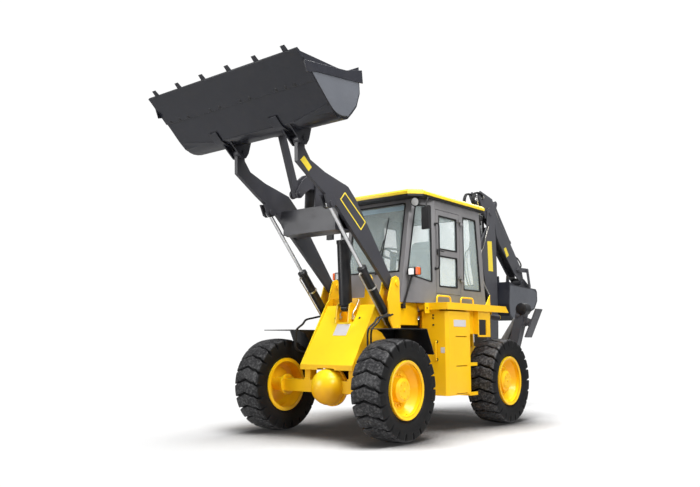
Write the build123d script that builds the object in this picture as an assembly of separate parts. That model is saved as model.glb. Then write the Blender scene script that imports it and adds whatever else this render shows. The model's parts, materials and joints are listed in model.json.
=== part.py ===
from build123d import *
from math import atan2, cos, degrees, hypot, radians, sin
import os

os.makedirs("parts", exist_ok=True)

# Articulated backhoe loader. Millimetres. X to the machine's left, Y to its rear, Z up.
# Y = 0 is the front axle and Z = 0 the ground until the last lines, which centre the whole.

# Clearances
SEAT = 0.3            # between fixed pieces with curved faces
MOVE = 6.0            # between pieces that move past each other
PIN_FIT = 0.5         # round pins and rods

# Running gear
TRACK = 1890.0
WHEELBASE = 2550.0
TYRE_R = 587.5
TYRE_HALF = 205.0
LUG_N = 22
BEAD_R = 305.0
BEAD_X = 152.0
LUG_SHARE = 0.82      # widest facet of a tyre as a share of the pitch of its lugs
RIM_T = 12.0
FLANGE_R = 337.0
FLANGE_T = 18.0
DISC_X = 18.0
DISC_T = 18.0
HUB_R = 142.0
HUB_OUT = 138.0
HUB_CAP_R = 108.0
STUD_PCD_R = 176.0
STUD_R = 13.0
STUD_N = 10
AXLE_Z = TYRE_R
AXLE_TUBE = 150.0
BALL_R = 222.0
BALL_Y = -62.0
BALL_SEAT_R = 150.0   # round opening over the ball in the frame's floor
BALL_JOINT = (238.0, 34.0)  # radius and width of the ball's bolted joint
SPINDLE_R = 45.0
SPINDLE_END = DISC_X + 50   # spindle's tip, outwards of the wheel's middle plane
AXLE_FLANGE_R = 132.0
AXLE_FLANGE_T = 34.0

# Articulation
PIVOT_Y = WHEELBASE / 2
TONGUE_R = 130.0
TONGUE_T = 60.0
TONGUE_LOW = 560.0
TONGUE_HIGH = 1020.0
CLEVIS_T = 30.0
KING_R = 42.0

# Front frame
TOWER_X = 420.0       # outer face of its side plates
PLATE_T = 20.0
TOWER_FOOT = (-128.0, 853.0)
TOWER_TOP = (440.0, 1700.0)
TOWER_REAR = 640.0
TOWER_BASE = 790.0
NECK_X = 200.0
FENDER_X = (630.0, 1125.0)
FENDER_LINE = (-80.0, 420.0, 575.0, 985.0)   # front, bend and rear end; height of the rear end
FENDER_Z = 1290.0
NECK_END = PIVOT_Y - 195.0

LIFT_LUG_X = 200.0    # the two lifting lugs behind the sloping plate, holes along Y
LIFT_LUG_HOLE = (497.0, 1945.0)
LIFT_LUG_R = 22.0

# Loader
ARM_X = 490.0         # centre plane of an arm
ARM_T = 50.0
ARM_PIVOT = (590.0, 1870.0)
BUCKET_PIN = (-1156.0, 3378.0)
LIFT_EYE = (-651.0, 2721.0)
LIFT_BASE = (600.0, 1310.0)
LIFT_BARREL_R = 52.0
LIFT_ROD_R = 22.5
LIFT_BARREL = 960.0
EYE_R = 46.0
PIN_R = 25.0
EAR_T = 20.0
ARM_GAP = 60.0        # from the centre plane of an arm to the ears beside it
BOSS_R = 60.0
BEAM_Y = (-455.0, -150.0)
BEAM_Z = (2450.0, 2760.0)
BEAM_CUT = (100.0, 136.0)    # corner cut from the beam's ends for the lowered lift cylinders
CRANK_PIN = (-360.0, 3070.0)
CRANK_FRONT = (-682.0, 2888.0)
CRANK_REAR = (170.0, 3095.0)
CRANK_X = 62.0        # outer face of its two plates
TILT_BASE = (267.0, 1560.0)
TILT_BARREL_R = 84.0
TILT_ROD_R = 32.0
TILT_BARREL = 870.0
LINK_EYE = (-950.0, 3600.0)
BUCKET_HALF = 1200.0
BUCKET_T = 16.0
TOOTH_N = 6
TOOTH_IN = 155.0      # end teeth inwards of the bucket's sides

# Rear body
PLATFORM_HALF = 500.0
PLATFORM_Y = (750.0, 1165.0)
DECK_Z = 1640.0
DECK_HALF = 980.0
DECK_Y = (1130.0, 2760.0)
SKIRT = 92.0
SKIRT_SLANT = 90.0    # rear end of the side skirt and inner end of the front one
LOOP_X = 785.0        # hand loops on the deck
LOOP_H = 95.0
LOOP_W = 345.0
LOOP_Y = (1190.0, 1805.0)
GUSSET = (2260.0, 2390.0, 150.0)     # upright triangle at the deck's edge: ends and height
TANK = (2405.0, 2955.0)              # air tank under the deck
TANK_PLACE = (750.0, 1487.0)
TANK_R = 42.0
SHEET = 16.0
BOX_OUT = DECK_HALF - 30
BOX_IN = 560.0
BOX_Y = (1170.0, 1750.0)
BOX_Z = (445.0, 1530.0)
BOX_CORNER = 36.0
SLOT = (375.0, 85.0, 12.0, 45.0)     # box slots: ends from the rear, height, depth
SLOT_Z = (455.0, 811.0, 1193.0)
STEP_Z = (420.0, 810.0)
STEP_DEEP = 185.0     # steps behind the box
PANEL_Y = (1990.0, 2330.0)           # side panel above the rear wheel
PANEL_Z = 1196.0
PANEL_HOLE = (2006.0, 2222.0, 1222.0, 1435.0)
RAIL_X = (320.0, 410.0)
RAIL_Z = (740.0, 1060.0)
RAIL_END = 3200.0

# Cab
CAB_WALL = 40.0
CAB_FRONT_X = 500.0
CAB_SIDE_X = 710.0
CAB_FLOOR_Y = (760.0, 1280.0, 2660.0)   # windscreen, door post, rear wall
CAB_EAVES_Y = (1020.0, 1280.0, 2500.0)
CAB_EAVES = 3060.0
ROOF_T = 62.0
ROOF_HALF = 762.0
ROOF_Y = (790.0, 950.0, 2600.0)
ROOF_FRONT_X = 610.0
DOOR_Y = (1302.0, 1935.0)
DOOR_Z = (1768.0, 2915.0)
DOOR_HINGE_X = CAB_SIDE_X + 20
SIDE_PANES = [
    # y of the front edge low and high, of the rear edge low and high, z of the sill's ends, z of the top
    (880.0, 1060.0, 1240.0, 1240.0, 2010.0, 1910.0, 2960.0),
    (2025.0, 2025.0, 2520.0, 2400.0, 1850.0, 1850.0, 2900.0),
]
END_PANES = [
    # half width, z of the sill and the top, y from and to
    (440.0, 2040.0, 2990.0, CAB_FLOOR_Y[0] - 160, CAB_EAVES_Y[0] + 130),
    (560.0, 1950.0, 2960.0, CAB_EAVES_Y[2] - 200, CAB_FLOOR_Y[2] + 140),
]
DOOR_HINGE_Z = (1960.0, 2760.0)
HINGE_T = 34.0
HINGE_R = 14.0
HINGE_PIN_R = 7.0
GLASS_T = 6.0
GLASS_IN = 14.0

# Backhoe
SWING_Y = 3750.0
SWING_R = 70.0
BOOM_FOOT = (4055.0, 1110.0)
BOOM_TOP = (4000.0, 3300.0)
DIPPER_BORE = 30.0    # bore of the dipper's foot
PIN_END = 14.0        # pin heads beyond the boom's plates
BOOM_KNEE = (3705.0, 2765.0)
BOOM_REAR_Y = 4195.0  # rear edge of the boom's plates
BOOM_X = 112.0
BOOM_PLATE = 18.0
DIPPER_X = 86.0
DIPPER_END = (5200.0, 2200.0)
CROWD_LOW = (4070.0, 2230.0)
CROWD_EYE = (3790.0, 3520.0)
BOOM_CYL_FOOT = (3760.0, 1580.0)
BOOM_BARREL = 1120.0
BOOM_CYL_EYE = (3762.0, 2806.0)
HOE_CYL_FOOT = (4300.0, 3500.0)
LEVER_PIN = (5010.0, 2400.0)
LINK_TIP = (5385.0, 2120.0)
HOE_CYL_EYE = (5310.0, 2410.0)
HOE_BUCKET_HALF = 310.0

# Stabilisers
STAB_Y = 3300.0
STAB_W = 140.0
STAB_PIVOT = (665.0, 470.0)
STAB_HEAD = (1000.0, 1640.0)
STAB_CYL_FOOT = (460.0, 850.0)
STAB_CYL_EYE = (943.5, 1534.0)
PAD_PIN = (1095.0, 1428.0)

nodes = {}


def face(points):
    return make_face(Polyline(*points, close=True))


def side_plate(points, x0, x1):
    """A (y, z) outline made solid from x0 to x1."""
    plane = Plane(origin=(x0, 0, 0), x_dir=(0, 1, 0), z_dir=(1, 0, 0))
    return extrude(plane * face(points), x1 - x0)


def front_plate(points, y0, y1):
    """An (x, z) outline made solid from y0 to y1."""
    plane = Plane(origin=(0, y0, 0), x_dir=(1, 0, 0), z_dir=(0, -1, 0))
    return extrude(plane * face(points), -(y1 - y0))


def plan_plate(points, z0, z1):
    return extrude(Plane.XY.offset(z0) * face(points), z1 - z0)


def block(x0, x1, y0, y1, z0, z1):
    middle = ((x0 + x1) / 2, (y0 + y1) / 2, (z0 + z1) / 2)
    return Pos(*middle) * Box(x1 - x0, y1 - y0, z1 - z0)


def bar(start, end, radius):
    line = Vector(*end) - Vector(*start)
    return extrude(Plane(origin=start, z_dir=line) * Circle(radius), line.length)


def pin(place, x0, x1, radius):
    return bar((x0, place[0], place[1]), (x1, place[0], place[1]), radius)


def eye(place, x0, x1, radius, bore):
    return pin(place, x0, x1, radius) - pin(place, x0 - 1, x1 + 1, bore)


def strap(a, ra, b, rb, x0, x1):
    """A plate with round ends about two (y, z) places."""
    plane = Plane(origin=(x0, 0, 0), x_dir=(0, 1, 0), z_dir=(1, 0, 0))
    ends = (Pos(*a) * Circle(ra)).edges() + (Pos(*b) * Circle(rb)).edges()
    return extrude(plane * make_hull(ends), x1 - x0)


def both(shape):
    return shape + mirror(shape, about=Plane.YZ)


def along(a, b, distance):
    span = hypot(b[0] - a[0], b[1] - a[1])
    return (a[0] + (b[0] - a[0]) * distance / span, a[1] + (b[1] - a[1]) * distance / span)


def near(place, *steps):
    """Outline points counted from a place."""
    return [(place[0] + y, place[1] + z) for y, z in steps]


def barrel(foot, head, x, length, radius, rod_r, eye_w):
    """Cylinder barrel from its foot eye towards the rod's eye, bored for the rod."""
    start = along(foot, head, EYE_R * 0.7)
    end = along(foot, head, length)
    body = bar((x, *start), (x, *end), radius)
    body += bar((x, *along(foot, head, length - 45)), (x, *end), radius + 7)
    body += pin(foot, x - eye_w / 2, x + eye_w / 2, EYE_R)
    body -= bar((x, *along(foot, head, 90)), (x, *along(foot, head, length + 5)), rod_r + PIN_FIT)
    body -= pin(foot, x - radius - 20, x + radius + 20, PIN_R + PIN_FIT)
    return body


def rod(foot, head, x, start, rod_r, eye_w):
    """Piston rod from inside its barrel to its own eye."""
    body = bar((x, *along(foot, head, start)), (x, *head), rod_r)
    body += pin(head, x - eye_w / 2, x + eye_w / 2, EYE_R)
    body -= pin(head, x - eye_w, x + eye_w, PIN_R + PIN_FIT)
    return body


# Wheels
TYRE_BEAD_R = BEAD_R / cos(radians(180 * LUG_SHARE / LUG_N))   # keeps the flats off the rim
TYRE_SECTION = [
    # x and radius in a groove, x and radius on a lug, lead of the lug as a share of the pitch
    (BEAD_X, TYRE_BEAD_R, BEAD_X, TYRE_BEAD_R, 0.0),
    (BEAD_X, FLANGE_R + 3, BEAD_X, FLANGE_R + 3, 0.0),
    (TYRE_HALF - 2, 470.0, TYRE_HALF - 2, 470.0, 0.0),
    (TYRE_HALF - 27, TYRE_R - 41.5, TYRE_HALF - 1, TYRE_R - 42.5, 0.0),
    (TYRE_HALF - 69, TYRE_R - 30.5, TYRE_HALF - 15, TYRE_R - 20.5, 0.06),
    (0.0, TYRE_R - 29.5, 0.0, TYRE_R, 0.46),
]
LUG_EDGES = [
    # share of the pitch, whether on the lug
    (0.0, False),
    ((1 - LUG_SHARE) / 2, True),
    ((1 + LUG_SHARE) / 2, True),
]


def make_tyre():
    """Chevron lugs: flat facets through rings that step between groove and lug."""
    across = [(-x, r, -lug_x, lug_r, lead) for x, r, lug_x, lug_r, lead in TYRE_SECTION]
    across += [(-x, r, -lug_x, lug_r, lead) for x, r, lug_x, lug_r, lead in across[-2::-1]]
    rings = []
    for i in range(LUG_N):
        for share, raised in LUG_EDGES:
            ring = []
            for x, r, lug_x, lug_r, lead in across:
                turn = radians(360 * (i + share + lead) / LUG_N)
                out = lug_r if raised else r
                ring.append((lug_x if raised else x, -out * cos(turn), out * sin(turn)))
            rings.append(ring)
    facets = []
    for i, ring in enumerate(rings):
        following = rings[(i + 1) % len(rings)]
        for j in range(len(across)):
            k = (j + 1) % len(across)
            facets.append(Face(Wire.make_polygon([ring[j], ring[k], following[k]])))
            facets.append(Face(Wire.make_polygon([ring[j], following[k], following[j]])))
    return Solid(Shell(facets))


def make_rim():
    seat = BEAD_R - SEAT
    inner = seat - RIM_T
    lip = BEAD_X + SEAT
    edge = lip + FLANGE_T
    outline = [
        (-edge, inner), (-edge, FLANGE_R), (-lip, FLANGE_R), (-lip, seat),
        (lip, seat), (lip, FLANGE_R), (edge, FLANGE_R), (edge, inner),
        (lip - 30, inner), (DISC_X + 60, inner - 30), (DISC_X + DISC_T, inner - 60),
        (DISC_X + DISC_T, HUB_R), (HUB_OUT - 24, HUB_R), (HUB_OUT, HUB_CAP_R), (HUB_OUT, 0),
        (DISC_X, 0), (DISC_X, inner - 60), (DISC_X - 30, inner),
    ]
    rim = revolve(Plane.XZ * face(outline), Axis.X, 360)
    stud = bar((DISC_X + DISC_T - 1, 0, STUD_PCD_R), (DISC_X + DISC_T + 22, 0, STUD_PCD_R), STUD_R)
    rim += [Rot(360 * i / STUD_N, 0, 0) * stud for i in range(STUD_N)]
    return rim - bar((0, 0, 0), (SPINDLE_END + MOVE, 0, 0), SPINDLE_R + PIN_FIT)


tyre = make_tyre()
rim = make_rim()
WHEELS = [
    # name, side, y
    ("front_left", 1, 0.0),
    ("front_right", -1, 0.0),
    ("rear_left", 1, WHEELBASE),
    ("rear_right", -1, WHEELBASE),
]
for name, side, y in WHEELS:
    place = Pos(side * TRACK / 2, y, AXLE_Z) * Rot(0, 0, 0 if side > 0 else 180)
    nodes["tyre_" + name] = place * tyre
    nodes["rim_" + name] = place * rim


# Axles
def make_axle(y, way):
    """Housing ball, square tubes, hub flanges; the ball bulges towards way."""
    half = AXLE_TUBE / 2
    end = TRACK / 2 + DISC_X - MOVE
    flange = TRACK / 2 - BEAD_X - 44
    joint_r, joint_t = BALL_JOINT
    half_disc = make_face([CenterArc((0, 0), BALL_R, -90, 180), Line((0, -BALL_R), (0, BALL_R))])
    housing = Pos(0, y + way * abs(BALL_Y), AXLE_Z) * revolve(half_disc, Axis.Y, 360)
    housing += bar((0, y - joint_t / 2, AXLE_Z), (0, y + joint_t / 2, AXLE_Z), joint_r)
    housing += bar((0, y, AXLE_Z), (0, y - way * 260, AXLE_Z), 120)
    housing += bar((0, y - way * 255, AXLE_Z), (0, y - way * 290, AXLE_Z), 75)
    housing += block(-flange, flange, y - half, y + half, AXLE_Z - half, AXLE_Z + half)
    for side in (1, -1):
        housing += bar((side * flange, y, AXLE_Z), (side * (flange + AXLE_FLANGE_T), y, AXLE_Z),
                       AXLE_FLANGE_R)
        housing += bar((side * flange, y, AXLE_Z), (side * end, y, AXLE_Z), 90)
        housing += bar((side * flange, y, AXLE_Z), (side * (TRACK / 2 + SPINDLE_END), y, AXLE_Z),
                       SPINDLE_R)
    return housing


nodes["front_axle"] = make_axle(0.0, -1)
nodes["rear_axle"] = make_axle(WHEELBASE, 1)


# Front frame
def make_tower_side(side):
    """Cheek of the tower with the ears that hold the arm's and the lift cylinder's pins."""
    foot_y, foot_z = TOWER_FOOT
    top_y, top_z = TOWER_TOP
    inner = TOWER_X - PLATE_T
    ear_in = ARM_X - ARM_GAP
    ear_out = ARM_X + ARM_GAP
    cheek = [
        (foot_y, TOWER_BASE), (foot_y, foot_z), (top_y - 70, top_z - 60), (top_y, top_z),
        (560, top_z), (TOWER_REAR + 30, 1420), (TOWER_REAR + 30, 1240), (TOWER_REAR, TOWER_BASE),
    ]
    plates = side_plate(cheek, inner, TOWER_X)
    pivot_y, pivot_z = ARM_PIVOT
    ear = [
        (395, 1640), (pivot_y - 90, pivot_z + 65), (pivot_y - 20, pivot_z + 92),
        (pivot_y + 40, pivot_z + 75), (pivot_y + 60, pivot_z + 20), (pivot_y + 60, pivot_z - 110),
        (TOWER_REAR, 1420), (395, 1420),
    ]
    plates += side_plate(ear, inner + 10, ear_in)
    outer_ear = ear[:-2] + [(TOWER_REAR + 30, 1215), (560, 1215), (430, 1400)]
    plates += side_plate(outer_ear, ear_out, ear_out + PLATE_T)
    plates += side_plate([(606, 1480), (645, 1440), (648, 1730), (606, 1695)], TOWER_X - 5, ear_out)
    plates += side_plate([(588, 1215), (TOWER_REAR + 28, 1215), (TOWER_REAR + 28, 1238), (588, 1238)],
                         TOWER_X - 5, ear_out)
    plates -= pin(ARM_PIVOT, 0, 800, 37.5)
    plates += pin(ARM_PIVOT, inner, ear_out + PLATE_T + 14, 37.5)
    plates += pin(LIFT_BASE, inner, ear_out + PLATE_T + 12, PIN_R)
    return plates if side > 0 else mirror(plates, about=Plane.YZ)


nodes["tower_left"] = make_tower_side(1)
nodes["tower_right"] = make_tower_side(-1)


def make_front_frame():
    """Sloping plate, cross plates, neck and tongues between the tower's cheeks."""
    foot_y, foot_z = TOWER_FOOT
    top_y, top_z = TOWER_TOP
    inner = TOWER_X - PLATE_T
    slope = (top_y - foot_y, top_z - foot_z)
    length = hypot(*slope)
    across = (slope[1] / length * PLATE_T, -slope[0] / length * PLATE_T)
    skin_end = along(TOWER_FOOT, (top_y - 40, 1640), 900)
    skin = [
        TOWER_FOOT, skin_end,
        (skin_end[0] + across[0], skin_end[1] + across[1]),
        (foot_y + across[0], foot_z + across[1]),
    ]
    frame = side_plate(skin, -inner, inner) - block(-150, 150, 225, 500, 1380, 1800)
    frame += block(-inner, inner, foot_y, foot_y + 120, TOWER_BASE, TOWER_BASE + PLATE_T)
    frame += block(-inner, inner, foot_y, foot_y + PLATE_T, TOWER_BASE, foot_z)
    frame += block(-inner, inner, 380, 380 + PLATE_T, TOWER_BASE, 1420)
    frame += block(-inner, inner, 225, 540, 1360, 1380)
    for x in (0 - TILT_BARREL_R - MOVE - PLATE_T, TILT_BARREL_R + MOVE):
        frame += side_plate([(180, 1370), (212, 1600), (250, 1625), (334, 1600), (400, 1480),
                             (400, 1370)], x, x + PLATE_T)
    frame += pin(TILT_BASE, -TILT_BARREL_R - MOVE - 5, TILT_BARREL_R + MOVE + 5, PIN_R)
    hole_y, hole_z = LIFT_LUG_HOLE
    wall = block(-inner, inner, hole_y - PLATE_T / 2, hole_y + PLATE_T / 2, 1370, TOWER_TOP[1])
    for x in (LIFT_LUG_X, -LIFT_LUG_X):
        outline = [(x - 75, TOWER_TOP[1] - 10), (x - 50, hole_z), (x - 22, hole_z + 45),
                   (x + 22, hole_z + 45), (x + 50, hole_z), (x + 75, TOWER_TOP[1] - 10)]
        wall += front_plate(outline, hole_y - PLATE_T / 2, hole_y + PLATE_T / 2)
        wall -= bar((x, hole_y - PLATE_T, hole_z), (x, hole_y + PLATE_T, hole_z), LIFT_LUG_R)
    frame += wall
    neck = block(-NECK_X, NECK_X, 380, NECK_END, TONGUE_LOW, TONGUE_HIGH + TONGUE_T)
    neck -= block(-NECK_X + PLATE_T, NECK_X - PLATE_T, 400, NECK_END + 1, TONGUE_LOW + TONGUE_T,
                  TONGUE_HIGH)
    frame += neck
    for z in (TONGUE_LOW, TONGUE_HIGH):
        tongue = plan_plate([(-NECK_X, NECK_END - 20), (NECK_X, NECK_END - 20),
                             (TONGUE_R, PIVOT_Y), (-TONGUE_R, PIVOT_Y)], z, z + TONGUE_T)
        tongue += bar((0, PIVOT_Y, z), (0, PIVOT_Y, z + TONGUE_T), TONGUE_R)
        frame += tongue - bar((0, PIVOT_Y, z - 1), (0, PIVOT_Y, z + TONGUE_T + 1), KING_R + PIN_FIT)
    half = AXLE_TUBE / 2
    for side in (1, -1):
        x0, x1 = sorted((side * (inner - 100), side * (inner - 1)))
        frame += block(x0, x1, -half, half, AXLE_Z + half, AXLE_Z + half + 26)
        x0, x1 = sorted((side * (inner - 90), side * inner))
        frame += block(x0, x1, -60, 60, AXLE_Z + half + 20, TOWER_BASE + 20)
    return frame - bar((0, BALL_Y, AXLE_Z), (0, BALL_Y, TOWER_BASE + PLATE_T + 1), BALL_SEAT_R)


nodes["front_frame"] = make_front_frame()


def make_fender(side):
    front, bend, rear, rear_z = FENDER_LINE
    x0, x1 = FENDER_X
    t = 10
    top = [(front, FENDER_Z), (bend, FENDER_Z), (rear, rear_z), (rear - t, rear_z - 4),
           (bend - 5, FENDER_Z - t), (front, FENDER_Z - t)]
    shell = side_plate(top, x0, x1)
    web = [(front + 160, FENDER_Z - t), (bend, FENDER_Z - t), (rear - 5, rear_z),
           (rear - 35, rear_z - 25),
           (bend - 90, FENDER_Z - 190), (bend - 240, FENDER_Z - 50)]
    shell += side_plate(web, x0, x0 + t)
    foot = [(rear - 105, rear_z - 45), (rear - 15, rear_z - 45), (rear - 9, rear_z), (rear - 105, rear_z)]
    shell += side_plate(foot, TOWER_X, x0 + 2)
    return shell if side > 0 else mirror(shell, about=Plane.YZ)


nodes["fender_left"] = make_fender(1)
nodes["fender_right"] = make_fender(-1)


# Loader arms
def make_arms():
    outline = [
        (-1212, 3330), (-1205, 3120), (-872, 2905), (-514, 2697), (503, 1800),
        (ARM_PIVOT[0] + 45, 1815), (ARM_PIVOT[0] + 45, 1925), (544, 1950),
        (-169, 2838), (-322, 2974), (-741, 3075), (-997, 3174), (-1090, 3290), (-1100, 3378),
    ]
    arm = side_plate(outline, ARM_X - ARM_T / 2, ARM_X + ARM_T / 2)
    wide = ARM_GAP - MOVE
    arm += pin(BUCKET_PIN, ARM_X - wide, ARM_X + wide, BOSS_R)
    arm += pin(ARM_PIVOT, ARM_X - wide, ARM_X + wide, 80)
    arm -= pin(BUCKET_PIN, ARM_X - 100, ARM_X + 100, 32)
    arm -= pin(ARM_PIVOT, ARM_X - 100, ARM_X + 100, 38 + PIN_FIT)
    ear = [(LIFT_EYE[0] - 120, LIFT_EYE[1] + 90), (LIFT_EYE[0] - 58, LIFT_EYE[1] - 40),
           (LIFT_EYE[0] - 10, LIFT_EYE[1] - 58),
           (LIFT_EYE[0] + 45, LIFT_EYE[1] - 40), (LIFT_EYE[0] + 110, LIFT_EYE[1] + 30), (LIFT_EYE[0] + 30,
                                                                                         LIFT_EYE[1] + 110)]
    for x, head in ((ARM_X - ARM_T / 2 - EAR_T, -14), (ARM_X + ARM_T / 2, EAR_T)):
        arm += side_plate(ear, x, x + EAR_T)
        arm += pin(LIFT_EYE, x + head, x + head + 14, PIN_R + 10)
    arms = both(arm)
    y0, y1 = BEAM_Y
    z0, z1 = BEAM_Z
    reach = ARM_X - ARM_T / 2
    beam = block(-reach, reach, y0, y1, z0, z1)
    beam -= block(-reach, reach, y0 + PLATE_T, y1 - PLATE_T, z0 + PLATE_T, z1 - PLATE_T)
    cut_y, cut_z = BEAM_CUT
    end_in = ARM_X - LIFT_BARREL_R - 14
    beam -= both(side_plate([(y0 - 1, z0 - 1), (y0 + cut_y, z0 - 1), (y0 - 1, z0 + cut_z)], end_in,
                            reach))
    slanted = [(y0 + cut_y, z0), (y0 + cut_y + 26, z0), (y0, z0 + cut_z + 35), (y0, z0 + cut_z)]
    beam += both(side_plate(slanted, end_in, reach))
    closing = [(y0, z0), (y0 + cut_y + 26, z0), (y0, z0 + cut_z + 35)]
    beam += both(side_plate(closing, end_in - PLATE_T, end_in))
    arms += beam
    support = [(y0 + 20, z1 - 5), (y1 - 20, z1 - 5), (CRANK_PIN[0] + 60, CRANK_PIN[1]),
               (CRANK_PIN[0] - 60, CRANK_PIN[1])]
    for x in (CRANK_X + MOVE, -CRANK_X - MOVE - EAR_T):
        lug = side_plate(support, x, x + EAR_T) + pin(CRANK_PIN, x, x + EAR_T, 62)
        arms += lug
    arms += pin(CRANK_PIN, -CRANK_X - MOVE - 5, CRANK_X + MOVE + 5, PIN_R)
    return arms


nodes["loader_arms"] = make_arms()


def make_crank():
    plates = []
    outline = [
        (CRANK_FRONT[0] - 50, CRANK_FRONT[1] + 15), (-640, 3055), (-515, 3152), (-400, 3190), (-200,
                                                                                               3185),
        (CRANK_REAR[0] + 20, CRANK_REAR[1] + 50), (CRANK_REAR[0] + 20, CRANK_REAR[1] - 50),
        (-200, 3010), (-367, 2992), (-495, 2975), (-584, 2911),
        (CRANK_FRONT[0] + 35, CRANK_FRONT[1] - 40), (CRANK_FRONT[0] - 25, CRANK_FRONT[1] - 50),
    ]
    for x in (CRANK_X - EAR_T, -CRANK_X):
        plate = side_plate(outline, x, x + EAR_T)
        for place in (CRANK_FRONT, CRANK_PIN, CRANK_REAR):
            plate += pin(place, x, x + EAR_T, 52)
        plate -= pin(CRANK_PIN, x - 1, x + EAR_T + 1, PIN_R + PIN_FIT)
        plates.append(plate)
    crank = plates[0] + plates[1]
    crank += side_plate([(-450, 3030), (-400, 3150), (-270, 3140), (-270, 3040)], -CRANK_X + 5,
                        CRANK_X - 5) \
        - pin(CRANK_PIN, -100, 100, PIN_R + 20)
    crank += pin(CRANK_FRONT, -CRANK_X - 12, CRANK_X + 12, PIN_R)
    return crank


nodes["bellcrank"] = make_crank()

link_half = 28
bucket_link = strap(CRANK_FRONT, 46, LINK_EYE, 42, -link_half, link_half)
bucket_link -= pin(CRANK_FRONT, -60, 60, PIN_R + PIN_FIT)
bucket_link -= pin(LINK_EYE, -60, 60, PIN_R + PIN_FIT)
nodes["bucket_link"] = bucket_link

nodes["tilt_barrel"] = barrel(TILT_BASE, CRANK_REAR, 0, TILT_BARREL, TILT_BARREL_R, TILT_ROD_R, 100)
nodes["tilt_rod"] = rod(TILT_BASE, CRANK_REAR, 0, TILT_BARREL - 170, TILT_ROD_R, 60)
lift_barrels = []
lift_rods = []
for side in (1, -1):
    lift_barrels.append(barrel(LIFT_BASE, LIFT_EYE, side * ARM_X, LIFT_BARREL, LIFT_BARREL_R, LIFT_ROD_R,
                               60))
    lift_rods.append(rod(LIFT_BASE, LIFT_EYE, side * ARM_X, LIFT_BARREL - 70, LIFT_ROD_R, 38))
nodes["lift_barrels"] = Compound(children=lift_barrels)
nodes["lift_rods"] = Compound(children=lift_rods)


# Loader bucket
BUCKET_EDGE = (-1945.0, 3981.0)
BUCKET_OUT = [
    # y, z of the outer skin from the cutting edge round to the top edge
    BUCKET_EDGE, (-1410.0, 3490.0), (-1290.0, 3460.0), (-1165.0, 3478.0), (-1020.0, 3640.0), (-965.0,
                                                                                              3800.0),
    (-985.0, 4096.0),
]


def make_bucket():
    outer = side_plate(BUCKET_OUT + [(-1213.0, 3978.0)], -BUCKET_HALF, BUCKET_HALF)
    centre = (-1420.0, 3790.0)
    shrunk = []
    for y, z in BUCKET_OUT[1:-1]:
        shrunk.append(along((y, z), centre, BUCKET_T))
    inner_points = [(BUCKET_EDGE[0] - 60, BUCKET_EDGE[1] + 90)] + [(BUCKET_EDGE[0] + 14,
                                                                    BUCKET_EDGE[1] + 14)] \
        + shrunk + [(-1002, 4090), (-1010, 4200), (-1500, 4300)]
    cavity = side_plate(inner_points, -BUCKET_HALF + BUCKET_T, BUCKET_HALF - BUCKET_T)
    bucket = outer - cavity
    slope = (BUCKET_EDGE[0] - BUCKET_OUT[1][0], BUCKET_EDGE[1] - BUCKET_OUT[1][1])
    run = hypot(*slope)
    ahead = (slope[0] / run, slope[1] / run)
    normal = (-ahead[1], ahead[0])
    tip = (BUCKET_EDGE[0] + ahead[0] * 94, BUCKET_EDGE[1] + ahead[1] * 94)
    root = (BUCKET_EDGE[0] - ahead[0] * 130, BUCKET_EDGE[1] - ahead[1] * 130)
    tooth = [
        (root[0] + normal[0] * 6, root[1] + normal[1] * 6), (tip[0], tip[1]),
        (root[0] - normal[0] * 34, root[1] - normal[1] * 34), (root[0] - ahead[0] * 40,
                                                               root[1] - ahead[1] * 40),
    ]
    for i in range(TOOTH_N):
        x = (BUCKET_HALF - TOOTH_IN) * (2 * i / (TOOTH_N - 1) - 1)
        bucket += side_plate(tooth, x - 32, x + 32)
    ear = [(-1400, 3488), (BUCKET_PIN[0] - 80, BUCKET_PIN[1] - 30),
           (BUCKET_PIN[0] - 30, BUCKET_PIN[1] - 70),
           (BUCKET_PIN[0] + 35, BUCKET_PIN[1] - 65), (BUCKET_PIN[0] + 75, BUCKET_PIN[1]), (-1010,
                                                                                           3650), (-1150,
                                                                                                   3490)]
    gap = ARM_GAP
    for x in (ARM_X - gap - EAR_T, ARM_X + gap):
        bucket += both(side_plate(ear, x, x + EAR_T))
    bucket += both(pin(BUCKET_PIN, ARM_X - gap - EAR_T - 12, ARM_X + gap + EAR_T + 12, 31.5))
    lug = [(-1130, 3500), (LINK_EYE[0] - 10, LINK_EYE[1] - 55), (LINK_EYE[0] + 45, LINK_EYE[1] - 30),
           (LINK_EYE[0] + 50, LINK_EYE[1] + 30), (-985, 3780), (-1030, 3640)]
    for x, head in ((CRANK_X - EAR_T, EAR_T), (-CRANK_X, -14)):
        bucket += side_plate(lug, x, x + EAR_T)
        bucket += pin(LINK_EYE, x + head, x + head + 14, PIN_R + 10)
    return bucket


nodes["loader_bucket"] = make_bucket()


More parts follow.
